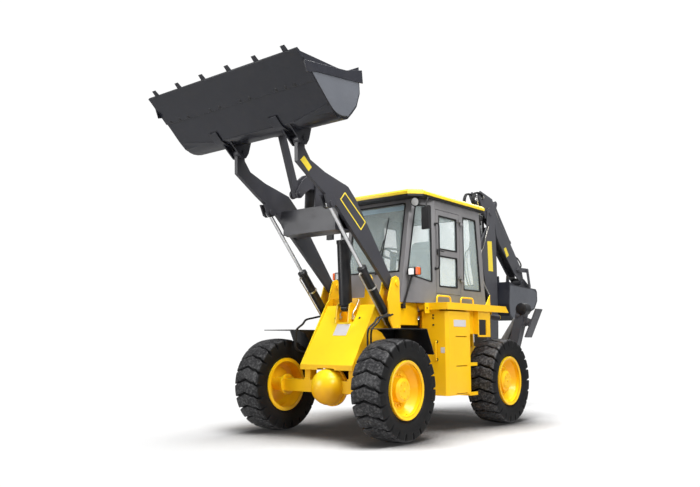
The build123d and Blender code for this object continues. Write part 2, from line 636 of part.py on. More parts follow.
# Rear chassis
def make_chassis():
    z0, z1 = RAIL_Z
    x0, x1 = RAIL_X
    chassis = both(block(x0, x1, 1500, RAIL_END, z0, z1) - block(x0 + PLATE_T, x1 - PLATE_T, 1499,
                                                                 RAIL_END + 1,
                                                                 z0 + PLATE_T, z1 - PLATE_T))
    chassis += block(-x1, x1, 1480, 1480 + PLATE_T, 530, 1140)
    chassis += block(-x0, x0, RAIL_END - 20, RAIL_END, z0, z1)
    for low in (TONGUE_LOW, TONGUE_HIGH):
        for z in (low - MOVE - CLEVIS_T, low + TONGUE_T + MOVE):
            plate = plan_plate([(-x1, 1485), (-TONGUE_R, PIVOT_Y), (TONGUE_R, PIVOT_Y), (x1, 1485)], z,
                               z + CLEVIS_T)
            chassis += plate + bar((0, PIVOT_Y, z), (0, PIVOT_Y, z + CLEVIS_T), TONGUE_R)
        chassis += bar((0, PIVOT_Y, low - MOVE - CLEVIS_T - 20),
                       (0, PIVOT_Y, low + TONGUE_T + MOVE + CLEVIS_T + 20),
                       KING_R)
    half = AXLE_TUBE / 2
    for side in (1, -1):
        a, b = sorted((side * x0, side * x1))
        chassis += block(a, b, WHEELBASE - 110, WHEELBASE + 110, AXLE_Z + half, z0)
    chassis += both(block(x0 - 10, x1 + 40, 1500, 1540, z1, DECK_Z - 30))
    chassis += both(block(x0 - 10, x1 + 40, 2700, 2740, z1, DECK_Z - 30))
    return chassis


nodes["rear_chassis"] = make_chassis()

platform = block(-PLATFORM_HALF, PLATFORM_HALF, *PLATFORM_Y, 1350, DECK_Z)
platform -= block(-PLATFORM_HALF + SHEET, PLATFORM_HALF - SHEET, PLATFORM_Y[0] + SHEET,
                  PLATFORM_Y[1] - SHEET,
                  1349, DECK_Z - SHEET)
platform += both(block(RAIL_X[0] - 10, RAIL_X[1] + 40, 1140, 1500, 1480, 1530))
nodes["front_platform"] = platform

engine = block(-270, 270, 1640, 2330, 800, 1440)
engine = fillet(engine.edges().filter_by(Axis.Z), 40)
engine += both(block(250, RAIL_X[0], 1750, 1850, 900, 960))
engine += both(block(250, RAIL_X[0], 2100, 2200, 900, 960))
nodes["engine_block"] = engine


def make_side_box(side):
    y0, y1 = BOX_Y
    z0, z1 = BOX_Z
    plan = [(BOX_IN, y0), (BOX_OUT - BOX_CORNER, y0), (BOX_OUT, y0 + BOX_CORNER), (BOX_OUT, y1),
            (BOX_IN, y1)]
    box = plan_plate(plan, z0, z1)
    slot_front, slot_rear, slot_h, slot_deep = SLOT
    for z in SLOT_Z:
        box -= block(BOX_OUT - slot_deep, BOX_OUT + 5, y1 - slot_front, y1 - slot_rear, z, z + slot_h)
    box += block(RAIL_X[1], BOX_IN, y0 + 360, y0 + 460, 800, 1000)
    box += block(RAIL_X[1], BOX_IN, y1 - 100, y1 - 20, 800, 1000)
    box += block(BOX_IN + 40, BOX_OUT - 20, y1 - 60, y1, z1, DECK_Z - 30)
    box += block(BOX_IN + 40, BOX_OUT - 120, y0, y0 + 20, z1, DECK_Z - 30)
    for z in STEP_Z:
        box += block(BOX_IN + 60, BOX_OUT, y1 - 30, y1 + STEP_DEEP, z, z + PLATE_T)
        box += block(BOX_OUT - SHEET, BOX_OUT, y1 - 30, y1 + STEP_DEEP, z, z + 45)
    low = PANEL_Z + 40
    box += block(BOX_OUT - 80 - SHEET, BOX_OUT - 80, y1 - 20, PANEL_Y[0] + SHEET, low, DECK_Z - 30)
    panel = block(BOX_OUT - SHEET, BOX_OUT, *PANEL_Y, PANEL_Z, DECK_Z - 30)
    hole_y0, hole_y1, hole_z0, hole_z1 = PANEL_HOLE
    box += panel - block(BOX_OUT - SHEET - 1, BOX_OUT + 1, hole_y0, hole_y1, hole_z0, hole_z1)
    box += block(BOX_OUT - 80 - SHEET, BOX_OUT - 1, PANEL_Y[0], PANEL_Y[0] + SHEET, low, DECK_Z - 30)
    return box if side > 0 else mirror(box, about=Plane.YZ)


nodes["side_box_left"] = make_side_box(1)
nodes["side_box_right"] = make_side_box(-1)


def make_deck():
    y0, y1 = DECK_Y
    deck = block(-DECK_HALF, DECK_HALF, y0, y1, DECK_Z - 30, DECK_Z)
    deck -= block(-PLATFORM_HALF - SEAT, PLATFORM_HALF + SEAT, y0 - 1, PLATFORM_Y[1] + SEAT, DECK_Z - 31,
                  DECK_Z + 1)
    low = DECK_Z - SKIRT
    side = [(y0, DECK_Z), (y0, low), (y1 + SKIRT_SLANT, low), (y1, DECK_Z)]
    deck += both(side_plate(side, DECK_HALF - SHEET, DECK_HALF))
    front_in = PLATFORM_HALF + 5
    front = [(front_in, DECK_Z), (DECK_HALF, DECK_Z), (DECK_HALF, low), (front_in + SKIRT_SLANT / 2, low)]
    deck += both(front_plate(front, y0, y0 + SHEET))
    foot = DECK_Z - 5
    for y in LOOP_Y:
        path = FilletPolyline((LOOP_X, y, foot), (LOOP_X, y, DECK_Z + LOOP_H),
                              (LOOP_X, y + LOOP_W, DECK_Z + LOOP_H), (LOOP_X, y + LOOP_W,
                                                                      foot), radius=50)
        deck += both(sweep(Plane(origin=(LOOP_X, y, foot), z_dir=(0, 0, 1)) * Circle(11), path=path))
    gusset_front, gusset_rear, gusset_h = GUSSET
    gusset = [(gusset_front, DECK_Z - 1), (gusset_rear, DECK_Z - 1), (gusset_rear, DECK_Z + gusset_h)]
    deck += both(side_plate(gusset, DECK_HALF - 66, DECK_HALF - 54))
    tank_x, tank_z = TANK_PLACE
    tank = bar((tank_x, TANK[0], tank_z), (tank_x, TANK[1], tank_z), TANK_R)
    for y in (TANK[0] + 90, y1 - 60):
        tank += block(tank_x - 20, tank_x + 20, y, y + 30, tank_z, DECK_Z - 29)
    return deck + both(tank)


nodes["deck"] = make_deck()


# Cab
def cab_section(ys, inset, z):
    """Six-sided plan of the cab, moved in by inset."""
    front, post, rear = ys
    slant = hypot(CAB_SIDE_X - CAB_FRONT_X, post - front)
    cut = inset * (slant - (post - front)) / (CAB_SIDE_X - CAB_FRONT_X)
    near = inset * (slant - (CAB_SIDE_X - CAB_FRONT_X)) / (post - front)
    points = [(CAB_FRONT_X - near, front + inset), (CAB_SIDE_X - inset, post + cut),
              (CAB_SIDE_X - inset, rear - inset)]
    points += [(-x, y) for x, y in reversed(points)]
    return Plane.XY.offset(z) * face(points)


def cab_solid(inset, low, high):
    """The cab's outer form moved in by inset, from low to high, by straight rulings."""
    def ys(z):
        t = (z - DECK_Z) / (CAB_EAVES - DECK_Z)
        return [a + (b - a) * t for a, b in zip(CAB_FLOOR_Y, CAB_EAVES_Y)]
    return loft([cab_section(ys(low), inset, low), cab_section(ys(high), inset, high)], ruled=True)


def windows(shrink):
    """Cutters for the panes, each smaller by shrink on every side."""
    s = shrink
    cut = []
    for low_y0, high_y0, low_y1, high_y1, low_z0, low_z1, high_z in SIDE_PANES:
        outline = [(low_y0 + s, low_z0 + s), (low_y1 - s, low_z1 + s), (high_y1 - s, high_z - s),
                   (high_y0 + s, high_z - s)]
        inner = CAB_FRONT_X - 20
        cut.append(side_plate(outline, inner, CAB_SIDE_X + 90))
        cut.append(side_plate(outline, -CAB_SIDE_X - 90, -inner))
    for half, low_z, high_z, y0, y1 in END_PANES:
        outline = [(-half + s, low_z + s), (half - s, low_z + s), (half - s, high_z - s),
                   (-half + s, high_z - s)]
        cut.append(front_plate(outline, y0, y1))
    return cut


def make_cab():
    shell = cab_solid(0, DECK_Z, CAB_EAVES) - cab_solid(CAB_WALL, DECK_Z - 1, CAB_EAVES - CAB_WALL)
    for cutter in windows(0):
        shell -= cutter
    d0, d1 = DOOR_Y
    shell -= block(CAB_SIDE_X - CAB_WALL - 30, CAB_SIDE_X + 30, d0, d1, *DOOR_Z)
    return shell


nodes["cab_shell"] = make_cab()

pane_shell = cab_solid(GLASS_IN, DECK_Z - 2, CAB_EAVES - 4) - cab_solid(GLASS_IN + GLASS_T, DECK_Z - 3,
                                                                        CAB_EAVES - 3)
panes = []
for cutter in windows(SEAT):
    panes += (pane_shell & cutter).solids()
nodes["cab_glass"] = Compound(children=panes)

roof_points = [(ROOF_FRONT_X, ROOF_Y[0]), (ROOF_HALF, ROOF_Y[1]), (ROOF_HALF, ROOF_Y[2])]
roof_points += [(-x, y) for x, y in reversed(roof_points)]
roof = plan_plate(roof_points, CAB_EAVES, CAB_EAVES + ROOF_T)
roof = chamfer(roof.faces().sort_by(Axis.Z)[-1].edges(), 24)
nodes["cab_roof"] = roof


def make_door():
    d0, d1 = DOOR_Y[0] + MOVE, DOOR_Y[1] - MOVE
    z0, z1 = DOOR_Z[0] + MOVE, DOOR_Z[1] - MOVE
    x0, x1 = CAB_SIDE_X - CAB_WALL, CAB_SIDE_X
    door = block(x0, x1, d0, d1, z0, z1)
    openings = [
        # low, high
        (z0 + 90, 2290.0),
        (2370.0, z1 - 70),
    ]
    panes = []
    for low, high in openings:
        door -= block(x0 - 1, x1 + 1, d0 + 70, d1 - 70, low, high)
        panes.append(block(x1 - GLASS_IN - GLASS_T, x1 - GLASS_IN, d0 + 70 + SEAT, d1 - 70 - SEAT,
                           low + SEAT, high - SEAT))
    door += block(x1, x1 + 28, d0 + 25, d0 + 55, 2290, 2370)
    return door, Compound(children=panes)


nodes["cab_door"], nodes["door_glass"] = make_door()
for z in DOOR_HINGE_Z:
    top = z + HINGE_T + MOVE + HINGE_T
    shell_eye = bar((DOOR_HINGE_X, DOOR_Y[1], z), (DOOR_HINGE_X, DOOR_Y[1], z + HINGE_T), HINGE_R)
    shell_eye += bar((DOOR_HINGE_X, DOOR_Y[1], z), (DOOR_HINGE_X, DOOR_Y[1], top + 8), HINGE_PIN_R)
    shell_eye += block(CAB_SIDE_X, DOOR_HINGE_X + HINGE_R, DOOR_Y[1] + 2, DOOR_Y[1] + 50, z, z + HINGE_T)
    nodes["cab_shell"] += shell_eye
    door_eye = bar((DOOR_HINGE_X, DOOR_Y[1], z + HINGE_T + MOVE), (DOOR_HINGE_X, DOOR_Y[1], top), HINGE_R)
    door_eye += block(CAB_SIDE_X, DOOR_HINGE_X + HINGE_R, DOOR_Y[1] - 60, DOOR_Y[1] - 8,
                      z + HINGE_T + MOVE, top)
    door_eye -= bar((DOOR_HINGE_X, DOOR_Y[1], z), (DOOR_HINGE_X, DOOR_Y[1], top + 20),
                    HINGE_PIN_R + PIN_FIT)
    nodes["cab_door"] += door_eye


def make_seat():
    seat = block(-190, 190, 1850, 1990, DECK_Z, 1850)
    seat += fillet(block(-250, 250, 1620, 2120, 1850, 1980).edges().filter_by(Axis.Z), 60)
    seat += fillet(block(-240, 240, 2060, 2170, 1960, 2620).edges().filter_by(Axis.X), 40)
    return seat


nodes["seat"] = make_seat()
column = block(-70, 70, 1180, 1300, DECK_Z, DECK_Z + 60)
column += bar((0, 1235, DECK_Z + 30), (0, 1330, 2330), 45)
column += Plane(origin=(0, 1335, 2350), z_dir=(0, 0.35, 1)) * Torus(190, 16)
column += bar((0, 1325, 2325), (0, 1338, 2360), 60)
column += Plane(origin=(0, 1335, 2350), z_dir=(0, 0.35, 1)) * Box(385, 24, 14)
nodes["steering_column"] = column


# Backhoe
def make_hoe_frame():
    y0 = RAIL_END
    frame = block(-420, 420, y0, y0 + 30, 600, 1560) + block(-620, 620, y0, y0 + 30, 600, 960)
    frame -= block(-200, 200, y0 - 1, y0 + 31, 1120, 1360)
    for x in (-270, 250):
        frame += side_plate([(y0 + 20, 760), (y0 + 200, 900), (y0 + 200, 1480), (y0 + 20, 1540)], x,
                            x + 20)
    for z in (1000.0, 1400.0):
        plate = plan_plate([(-270, y0 + 20), (270, y0 + 20), (120, SWING_Y), (-120, SWING_Y)], z, z + 40)
        plate += bar((0, SWING_Y, z), (0, SWING_Y, z + 40), 120)
        frame += plate - bar((0, SWING_Y, z - 1), (0, SWING_Y, z + 41), 45 + PIN_FIT)
    half = STAB_W / 2
    for y in (STAB_Y - half - MOVE - PLATE_T, STAB_Y + half + MOVE):
        lug = front_plate([(380, 730), (520, 800), (620, 800), (STAB_PIVOT[0] + 60, STAB_PIVOT[1] + 40),
                           (STAB_PIVOT[0] + 50, STAB_PIVOT[1] - 50), (STAB_PIVOT[0] - 50,
                                                                      STAB_PIVOT[1] - 60),
                           (480, 600), (380, 640)], y, y + PLATE_T)
        frame += both(lug)
    pivot = bar((STAB_PIVOT[0], STAB_Y - half - 30, STAB_PIVOT[1]),
                (STAB_PIVOT[0], STAB_Y + half + 30, STAB_PIVOT[1]), 30)
    frame += both(pivot)
    foot_x, foot_z = STAB_CYL_FOOT
    foot = bar((foot_x, y0 + 25, foot_z), (foot_x, STAB_Y + 85, foot_z), PIN_R)
    foot += front_plate([(265, 720), (foot_x + 40, 720), (foot_x + 50, foot_z + 30),
                         (foot_x - 30, foot_z + 60), (265, 960)],
                        STAB_Y + 60, STAB_Y + 80)
    foot += block(385, 520, y0 + 20, STAB_Y + 90, 700, 720)
    frame += both(foot)
    return frame


nodes["hoe_frame"] = make_hoe_frame()


def make_post():
    """King pin column with two cheeks to the boom's foot and up to its cylinder's foot."""
    post = bar((0, SWING_Y, 1040 + MOVE), (0, SWING_Y, 1400 - MOVE), SWING_R)
    post += bar((0, SWING_Y, 985), (0, SWING_Y, 1050), 45) + bar((0, SWING_Y, 1390), (0, SWING_Y, 1470),
                                                                 45)
    reach = BOOM_X - BOOM_PLATE - MOVE
    foot_y, foot_z = BOOM_FOOT
    top_y, top_z = BOOM_CYL_FOOT
    notch = SWING_Y + 160
    cheek = [
        (SWING_Y, 1050), (SWING_Y + 140, 1050), (foot_y - 90, foot_z - 90), (foot_y + 20,
                                                                             foot_z - 95), (foot_y + 85,
                                                                                            foot_z - 30),
        (foot_y + 80, foot_z + 50), (notch + 90, 1470), (top_y + 60, top_z + 40), (top_y + 20,
                                                                                   top_z + 62),
        (top_y - 40, top_z + 50), (top_y - 60, top_z - 10), (SWING_Y - 50, 1456), (notch, 1456),
        (notch, 1388), (SWING_Y, 1388),
    ]
    post += side_plate(cheek, reach - 30, reach) + side_plate(cheek, -reach, -reach + 30)
    post += side_plate([(SWING_Y + 60, 1060), (foot_y - 120, foot_z - 40), (foot_y - 120, 1388),
                        (SWING_Y + 60, 1388)], -reach + 30, reach - 30)
    post += pin(BOOM_FOOT, -BOOM_X - 16, BOOM_X + 16, 35)
    post += pin(BOOM_CYL_FOOT, -reach, reach, PIN_R)
    return post


nodes["swing_post"] = make_post()


def make_boom():
    foot_y, foot_z = BOOM_FOOT
    top_y, top_z = BOOM_TOP
    knee_y, knee_z = BOOM_KNEE
    rear = BOOM_REAR_Y
    outline = [
        (foot_y - 90, foot_z - 60), (foot_y - 20, foot_z - 105), (foot_y + 70, foot_z - 85),
        (rear - 15, foot_z + 40), (rear, 1400), (rear, 2000), (rear - 5, 2767), (rear - 35, 3200),
        (top_y + 110, top_z + 60), (top_y, top_z + 95), (top_y - 90, top_z + 40), (3905, 3063),
        (knee_y - 20, knee_z + 50), (knee_y - 50, knee_z - 20), (3681, 2432), (3768, 2139),
        (3880, 1750), (SWING_Y + 172, 1450), (SWING_Y + 172, foot_z + 60),
    ]
    boom = both(side_plate(outline, BOOM_X - BOOM_PLATE, BOOM_X))
    inner = BOOM_X - BOOM_PLATE
    near = rear - 5
    far = near - BOOM_PLATE
    web = [(near, 1420), (near, 2080), (near - 2, 2767), (near - 40, 3080),
           (far - 40, 3080), (far - 2, 2767), (far, 2080), (far, 1420)]
    boom += side_plate(web, -inner, inner)
    boom -= pin(BOOM_FOOT, -200, 200, 35 + PIN_FIT)
    boom -= pin(BOOM_TOP, -200, 200, DIPPER_BORE)
    boom += pin(BOOM_TOP, -BOOM_X - PIN_END, BOOM_X + PIN_END, DIPPER_BORE - PIN_FIT)
    boom += both(pin(BOOM_TOP, BOOM_X - 1, BOOM_X + PIN_END, 45))
    boom -= pin(BOOM_CYL_EYE, -200, 200, PIN_R)
    boom += pin(CROWD_LOW, -BOOM_X, BOOM_X, PIN_R - PIN_FIT)
    return boom


nodes["hoe_boom"] = make_boom()
nodes["boom_barrel"] = barrel(BOOM_CYL_FOOT, BOOM_CYL_EYE, 0, BOOM_BARREL, 45, 25, 60)
nodes["boom_rod"] = rod(BOOM_CYL_FOOT, BOOM_CYL_EYE, 0, 110, 25, 50)
nodes["crowd_barrel"] = barrel(CROWD_LOW, CROWD_EYE, 0, 720, 45, 25, 60)
nodes["crowd_rod"] = rod(CROWD_LOW, CROWD_EYE, 0, 610, 25, 50)


def make_dipper():
    outline = near(CROWD_EYE, (-150, 40), (-62, 120))
    outline += near(BOOM_TOP, (143, 260), (290, 0), (815, -485))
    outline += near(DIPPER_END, (-10, 230), (68, 20), (0, -70), (-70, -10), (-248, 90))
    outline += near(BOOM_TOP, (371, -500), (267, -370), (225, -180), (110, -120), (-120, -100))
    outline += near(CROWD_EYE, (-70, -70))
    t = 16
    dipper = both(side_plate(outline, DIPPER_X - t, DIPPER_X))
    body = near(BOOM_TOP, (180, -85), (280, -10)) + near(DIPPER_END, (-30, 220), (-120, 90))
    dipper += side_plate(body + near(BOOM_TOP, (330, -350)), -DIPPER_X + t, DIPPER_X - t)
    head = near(BOOM_TOP, (-58, 100), (-55, 255), (120, 220), (110, 100))
    dipper += side_plate(head, -DIPPER_X + t, DIPPER_X - t)
    dipper += pin(BOOM_TOP, -DIPPER_X, DIPPER_X, 75)
    dipper -= pin(BOOM_TOP, -DIPPER_X - 1, DIPPER_X + 1, DIPPER_BORE)
    dipper += pin(DIPPER_END, -DIPPER_X, DIPPER_X, 70)
    dipper -= pin(CROWD_EYE, -200, 200, PIN_R)
    lug = strap(HOE_CYL_FOOT, 50, *near(BOOM_TOP, (200, 30)), 60, 50, 70)
    dipper += both(lug) + pin(HOE_CYL_FOOT, -76, 76, PIN_R)
    return dipper


nodes["hoe_dipper"] = make_dipper()
nodes["hoe_bucket_barrel"] = barrel(HOE_CYL_FOOT, HOE_CYL_EYE, 0, 860, 42, 22.5, 60)
nodes["hoe_bucket_rod"] = rod(HOE_CYL_FOOT, HOE_CYL_EYE, 0, 560, 22.5, 50)

SIDE_T = 16.0
EAR_X = DIPPER_X + MOVE               # bucket's ears, then the levers, then the links
LEVER_X = EAR_X + SIDE_T + MOVE
LINK_X = LEVER_X + SIDE_T + MOVE
lever = both(strap(LEVER_PIN, 40, HOE_CYL_EYE, 38, LEVER_X, LEVER_X + SIDE_T))
lever += both(pin(HOE_CYL_EYE, 32, LINK_X + SIDE_T + 8, PIN_R - 3))
nodes["hoe_lever"] = lever - pin(LEVER_PIN, -200, 200, 22 + PIN_FIT)
hoe_link = both(strap(HOE_CYL_EYE, 36, LINK_TIP, 36, LINK_X, LINK_X + SIDE_T))
nodes["hoe_link"] = hoe_link - pin(HOE_CYL_EYE, -200, 200, PIN_R - 3 + PIN_FIT)

HOE_SKIN = [
    # y, z of the outer skin from the cutting edge round to the hinge
    (4250.0, 2130.0), (4205.0, 1760.0), (4225.0, 1560.0), (4330.0, 1480.0), (4560.0, 1500.0), (5200.0,
                                                                                               1700.0),
    (5330.0, 1850.0), (5330.0, 2010.0),
]


def make_hoe_bucket():
    half = HOE_BUCKET_HALF
    cheek = HOE_SKIN + [(5280.0, 2060.0), (4420.0, 2090.0)]
    bucket = side_plate(cheek, -half, half)
    centre = (4700.0, 1850.0)
    inside = [along(p, centre, 20) for p in HOE_SKIN[1:]]
    cavity = [(4180, 2300), (4268, 2140)] + inside + [(5300, 2300)]
    bucket -= side_plate(cavity, -half + 18, half - 18)
    for i in range(4):
        x = -half + 35 + (2 * half - 70) * i / 3
        tooth = [(4232, 2100), (4255, 2235), (4268, 2100), (4262, 2040), (4230, 2020)]
        bucket += side_plate(tooth, x - 25, x + 25)
    ear = [(DIPPER_END[0] - 60, DIPPER_END[1]), (DIPPER_END[0] - 30, DIPPER_END[1] + 52),
           (DIPPER_END[0] + 30, DIPPER_END[1] + 52),
           (LINK_TIP[0] + 30, LINK_TIP[1] + 35), (LINK_TIP[0] + 42, LINK_TIP[1] - 20), (5325,
                                                                                        1880), (5200,
                                                                                                1712),
           (4900, 1650), (5000, 1900)]
    bucket += both(side_plate(ear, EAR_X, EAR_X + SIDE_T))
    bucket += pin(DIPPER_END, -EAR_X - SIDE_T - 5, EAR_X + SIDE_T + 5, 30)
    bucket += both(pin(LINK_TIP, EAR_X, EAR_X + SIDE_T + 5, PIN_R + 10))
    return bucket


nodes["hoe_bucket"] = make_hoe_bucket()
nodes["hoe_dipper"] = nodes["hoe_dipper"] - pin(DIPPER_END, -200, 200, 30 + PIN_FIT)
nodes["hoe_dipper"] += both(pin(LEVER_PIN, DIPPER_X - 20, LEVER_X + SIDE_T + 8, 22))


# Stabilisers
def make_leg(side):
    half = STAB_W / 2
    y0, y1 = STAB_Y - half, STAB_Y + half
    line = (STAB_HEAD[0] - STAB_PIVOT[0], STAB_HEAD[1] - STAB_PIVOT[1])
    length = hypot(*line)
    u = (line[0] / length, line[1] / length)
    n = (u[1], -u[0])
    def at(s, w):
        return (STAB_PIVOT[0] + u[0] * s + n[0] * w, STAB_PIVOT[1] + u[1] * s + n[1] * w)
    leg = front_plate([at(0, -65), at(0, 65), at(length - 60, 70), at(length + 40, 40),
                       at(length + 40, -40),
                       at(length - 60, -70)], y0, y1)
    leg += bar((STAB_PIVOT[0], y0, STAB_PIVOT[1]), (STAB_PIVOT[0], y1, STAB_PIVOT[1]), 65)
    leg -= front_plate([at(560, -80), at(560, 30), at(length + 60, 30), at(length + 60, -80)], y0 + 9,
                       y1 - 9)
    leg -= bar((STAB_PIVOT[0], y0 - 1, STAB_PIVOT[1]), (STAB_PIVOT[0], y1 + 1, STAB_PIVOT[1]),
               30 + PIN_FIT)
    for y in (y0 - 12, y1):
        leg += bar((STAB_CYL_EYE[0], y, STAB_CYL_EYE[1]), (STAB_CYL_EYE[0], y + 12, STAB_CYL_EYE[1]),
                   PIN_R + 8)
    bracket = [at(length - 130, 40), (PAD_PIN[0] - 10, PAD_PIN[1] + 45),
               (PAD_PIN[0] + 38, PAD_PIN[1] + 15),
               (PAD_PIN[0] + 20, PAD_PIN[1] - 35), at(length - 300, 40)]
    for y in (STAB_Y - 45, STAB_Y + 25):
        leg += front_plate(bracket, y, y + 20)
    leg -= bar((PAD_PIN[0], y0, PAD_PIN[1]), (PAD_PIN[0], y1, PAD_PIN[1]), 20 + PIN_FIT)
    return leg if side > 0 else mirror(leg, about=Plane.YZ)


def make_pad(side):
    u = (0.41, 0.912)
    n = (0.912, -0.41)
    def at(s, w):
        return (PAD_PIN[0] + u[0] * s + n[0] * w, PAD_PIN[1] + u[1] * s + n[1] * w)
    pad = front_plate([at(-225, 55), at(235, 55), at(235, 75), at(-225, 75)], STAB_Y - 110, STAB_Y + 110)
    for y in (STAB_Y - 71, STAB_Y + 51):
        pad += front_plate([at(-70, 56), at(-28, -28), at(28, -28), at(70, 56)], y, y + 20)
    pad += bar((PAD_PIN[0], STAB_Y - 76, PAD_PIN[1]), (PAD_PIN[0], STAB_Y + 76, PAD_PIN[1]), 20)
    return pad if side > 0 else mirror(pad, about=Plane.YZ)


def make_stab_cylinder(side):
    foot = STAB_CYL_FOOT
    head = STAB_CYL_EYE
    def turn(shape):
        turned = Pos(0, STAB_Y, 0) * Rot(0, 0, -90) * shape
        return turned if side > 0 else mirror(turned, about=Plane.YZ)
    return turn(barrel(foot, head, 0, 750, 47, 25, 44)), turn(rod(foot, head, 0, 120, 25, 44))


for name, side in (("left", 1), ("right", -1)):
    nodes["stabiliser_leg_" + name] = make_leg(side)
    nodes["stabiliser_pad_" + name] = make_pad(side)
    nodes["stabiliser_barrel_" + name], nodes["stabiliser_rod_" + name] = make_stab_cylinder(side)


# Lamps and mirrors
def make_lamps():
    lamps = block(PLATFORM_HALF, PLATFORM_HALF + 40, 770, 830, 1560, 1620)
    lamps += bar((PLATFORM_HALF + 34, 785, 1590), (600, 890, 1990), 14)
    lamps += block(565, 675, 850, 915, 1985, 2095)
    return both(lamps)


nodes["head_lamps"] = make_lamps()
mirrors = bar((CAB_SIDE_X - 20, 1130, CAB_EAVES - 12), (815, 960, 3000), 9)
mirrors += bar((815, 960, 3000), (815, 905, 2860), 9)
mirrors += block(CAB_SIDE_X - 50, CAB_SIDE_X - 10, 1110, 1150, CAB_EAVES - 22, CAB_EAVES)
mirrors += block(760, 870, 885, 925, 2580, 2870)
nodes["mirrors"] = both(mirrors)

corners = [shape.bounding_box() for shape in nodes.values()]
front = min(box.min.Y for box in corners)
back = max(box.max.Y for box in corners)
low = min(box.min.Z for box in corners)
shift = Pos(0, -(front + back) / 2, -low)
for name, shape in nodes.items():
    solids = [shift * solid for solid in shape.solids()]
    export_step(solids[0] if len(solids) == 1 else Compound(children=solids), "parts/" + name + ".step")
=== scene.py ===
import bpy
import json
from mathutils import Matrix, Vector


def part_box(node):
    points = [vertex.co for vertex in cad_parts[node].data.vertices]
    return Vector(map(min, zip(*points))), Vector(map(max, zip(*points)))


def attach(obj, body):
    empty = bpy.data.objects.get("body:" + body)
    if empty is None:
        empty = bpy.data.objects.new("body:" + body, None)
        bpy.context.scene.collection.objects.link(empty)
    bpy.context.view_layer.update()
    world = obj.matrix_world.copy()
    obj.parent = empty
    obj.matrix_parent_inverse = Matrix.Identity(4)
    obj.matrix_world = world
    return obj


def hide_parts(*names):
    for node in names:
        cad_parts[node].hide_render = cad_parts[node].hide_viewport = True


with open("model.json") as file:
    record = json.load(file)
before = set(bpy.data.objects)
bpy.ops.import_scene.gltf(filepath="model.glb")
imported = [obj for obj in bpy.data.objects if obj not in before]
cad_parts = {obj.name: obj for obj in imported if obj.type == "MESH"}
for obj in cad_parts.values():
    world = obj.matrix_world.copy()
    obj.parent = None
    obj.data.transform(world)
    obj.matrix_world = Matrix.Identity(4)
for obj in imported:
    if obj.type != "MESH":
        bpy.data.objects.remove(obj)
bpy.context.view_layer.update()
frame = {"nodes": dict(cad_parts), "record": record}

import json
import math

import bmesh
import bpy
import numpy as np
from mathutils import Vector

# Places are written in millimetres of the machine: X to its left, Y to its rear from the front axle, Z up.
wheel_low, wheel_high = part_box("tyre_front_left")
AXLE_Y = (wheel_low[1] + wheel_high[1]) / 2    # the front axle's place in the frame, in metres
AXLE_Z = 587.5                                 # height of both axles
TRACK = 1890.0                                 # between the middle planes of a left and a right tyre
WHEELBASE = 2550.0
LEFT, REAR, UP = np.array([1.0, 0, 0]), np.array([0, 1.0, 0]), np.array([0, 0, 1.0])


def place(points):
    """Machine millimetres to metres of the frame: a thousandth, moved along Y by the axle's place."""
    return np.asarray(points, float) / 1000 + np.array([0, AXLE_Y, 0])


# Shapes. A shape is (points, quads, caps): an array of corners, an array of four-cornered faces and a list
# of loops that close its ends.


def turns(count):
    """Equal angles round a circle."""
    return np.linspace(0, 2 * np.pi, count, endpoint=False)


def skin(grid, around=False, along=False):
    """Faces between neighbouring points of a grid (rows, columns, 3); around joins the last column to the
    first, along joins the last row to the first, and the first and last rows are closed by flat loops."""
    rows, cols = grid.shape[:2]
    row = np.arange(rows if along else rows - 1)[:, None]
    col = np.arange(cols if around else cols - 1)[None, :]
    here, side = row * cols + col, row * cols + (col + 1) % cols
    up = ((row + 1) % rows) * cols
    quads = np.stack([here, side, up + (col + 1) % cols, up + col], -1).reshape(-1, 4)
    caps = []
    if around and not along:
        caps = [list(range(cols))[::-1], list(range((rows - 1) * cols, rows * cols))]
    return grid.reshape(-1, 3), quads, caps


def turned(profile, centre, axis, count=48, ring=False):
    """A profile of (distance along the axis, radius) pairs turned a full circle about an axis through
    centre; in a ring the profile's last point joins its first."""
    profile = np.asarray(profile, float)
    axis = np.asarray(axis, float) / np.linalg.norm(axis)
    side = np.cross(axis, [0, 0, 1] if abs(axis[2]) < 0.9 else [0, 1, 0])
    side /= np.linalg.norm(side)
    other = np.cross(axis, side)
    angle = turns(count)[None, :, None]
    circle = np.cos(angle) * side + np.sin(angle) * other
    grid = np.asarray(centre, float) + profile[:, :1, None] * axis + profile[:, 1:, None] * circle
    return skin(grid, around=True, along=ring)


def prism(outline, low, high, across="x"):
    """A flat outline carried straight from low to high along one axis; its pairs are the other two axes."""
    outline = np.asarray(outline, float)
    ends = np.array([low, high], float)
    flat = np.broadcast_to(outline, (2,) + outline.shape)
    depth = np.broadcast_to(ends[:, None, None], (2, len(outline), 1))
    order = {"x": [2, 0, 1], "y": [0, 2, 1], "z": [0, 1, 2]}[across]
    return skin(np.concatenate([flat, depth], -1)[..., order], around=True)


def corners(a0, b0, a1, b1):
    """The four corners of a rectangle, from one corner round to the next."""
    return [(a0, b0), (a1, b0), (a1, b1), (a0, b1)]


def brick(low, high):
    """A block between two corners: its rectangle carried along Z."""
    return prism(corners(low[0], low[1], high[0], high[1]), low[2], high[2], "z")


def flow(points, steps=12):
    """A smooth line through points: each stretch is the cubic whose slope at a point runs between the
    neighbours of that point."""
    p = np.asarray(points, float)
    p = np.concatenate([2 * p[:1] - p[1:2], p, 2 * p[-1:] - p[-2:-1]])
    t = np.linspace(0, 1, steps, endpoint=False)[None, :, None]
    a, b, c, d = (p[i:len(p) - 3 + i, None] for i in range(4))
    bend, twist = 2 * a - 5 * b + 4 * c - d, 3 * b - a - 3 * c + d
    line = 0.5 * (2 * b + (c - a) * t + bend * t ** 2 + twist * t ** 3)
    return np.concatenate([line.reshape(-1, 3), p[-2:-1]])


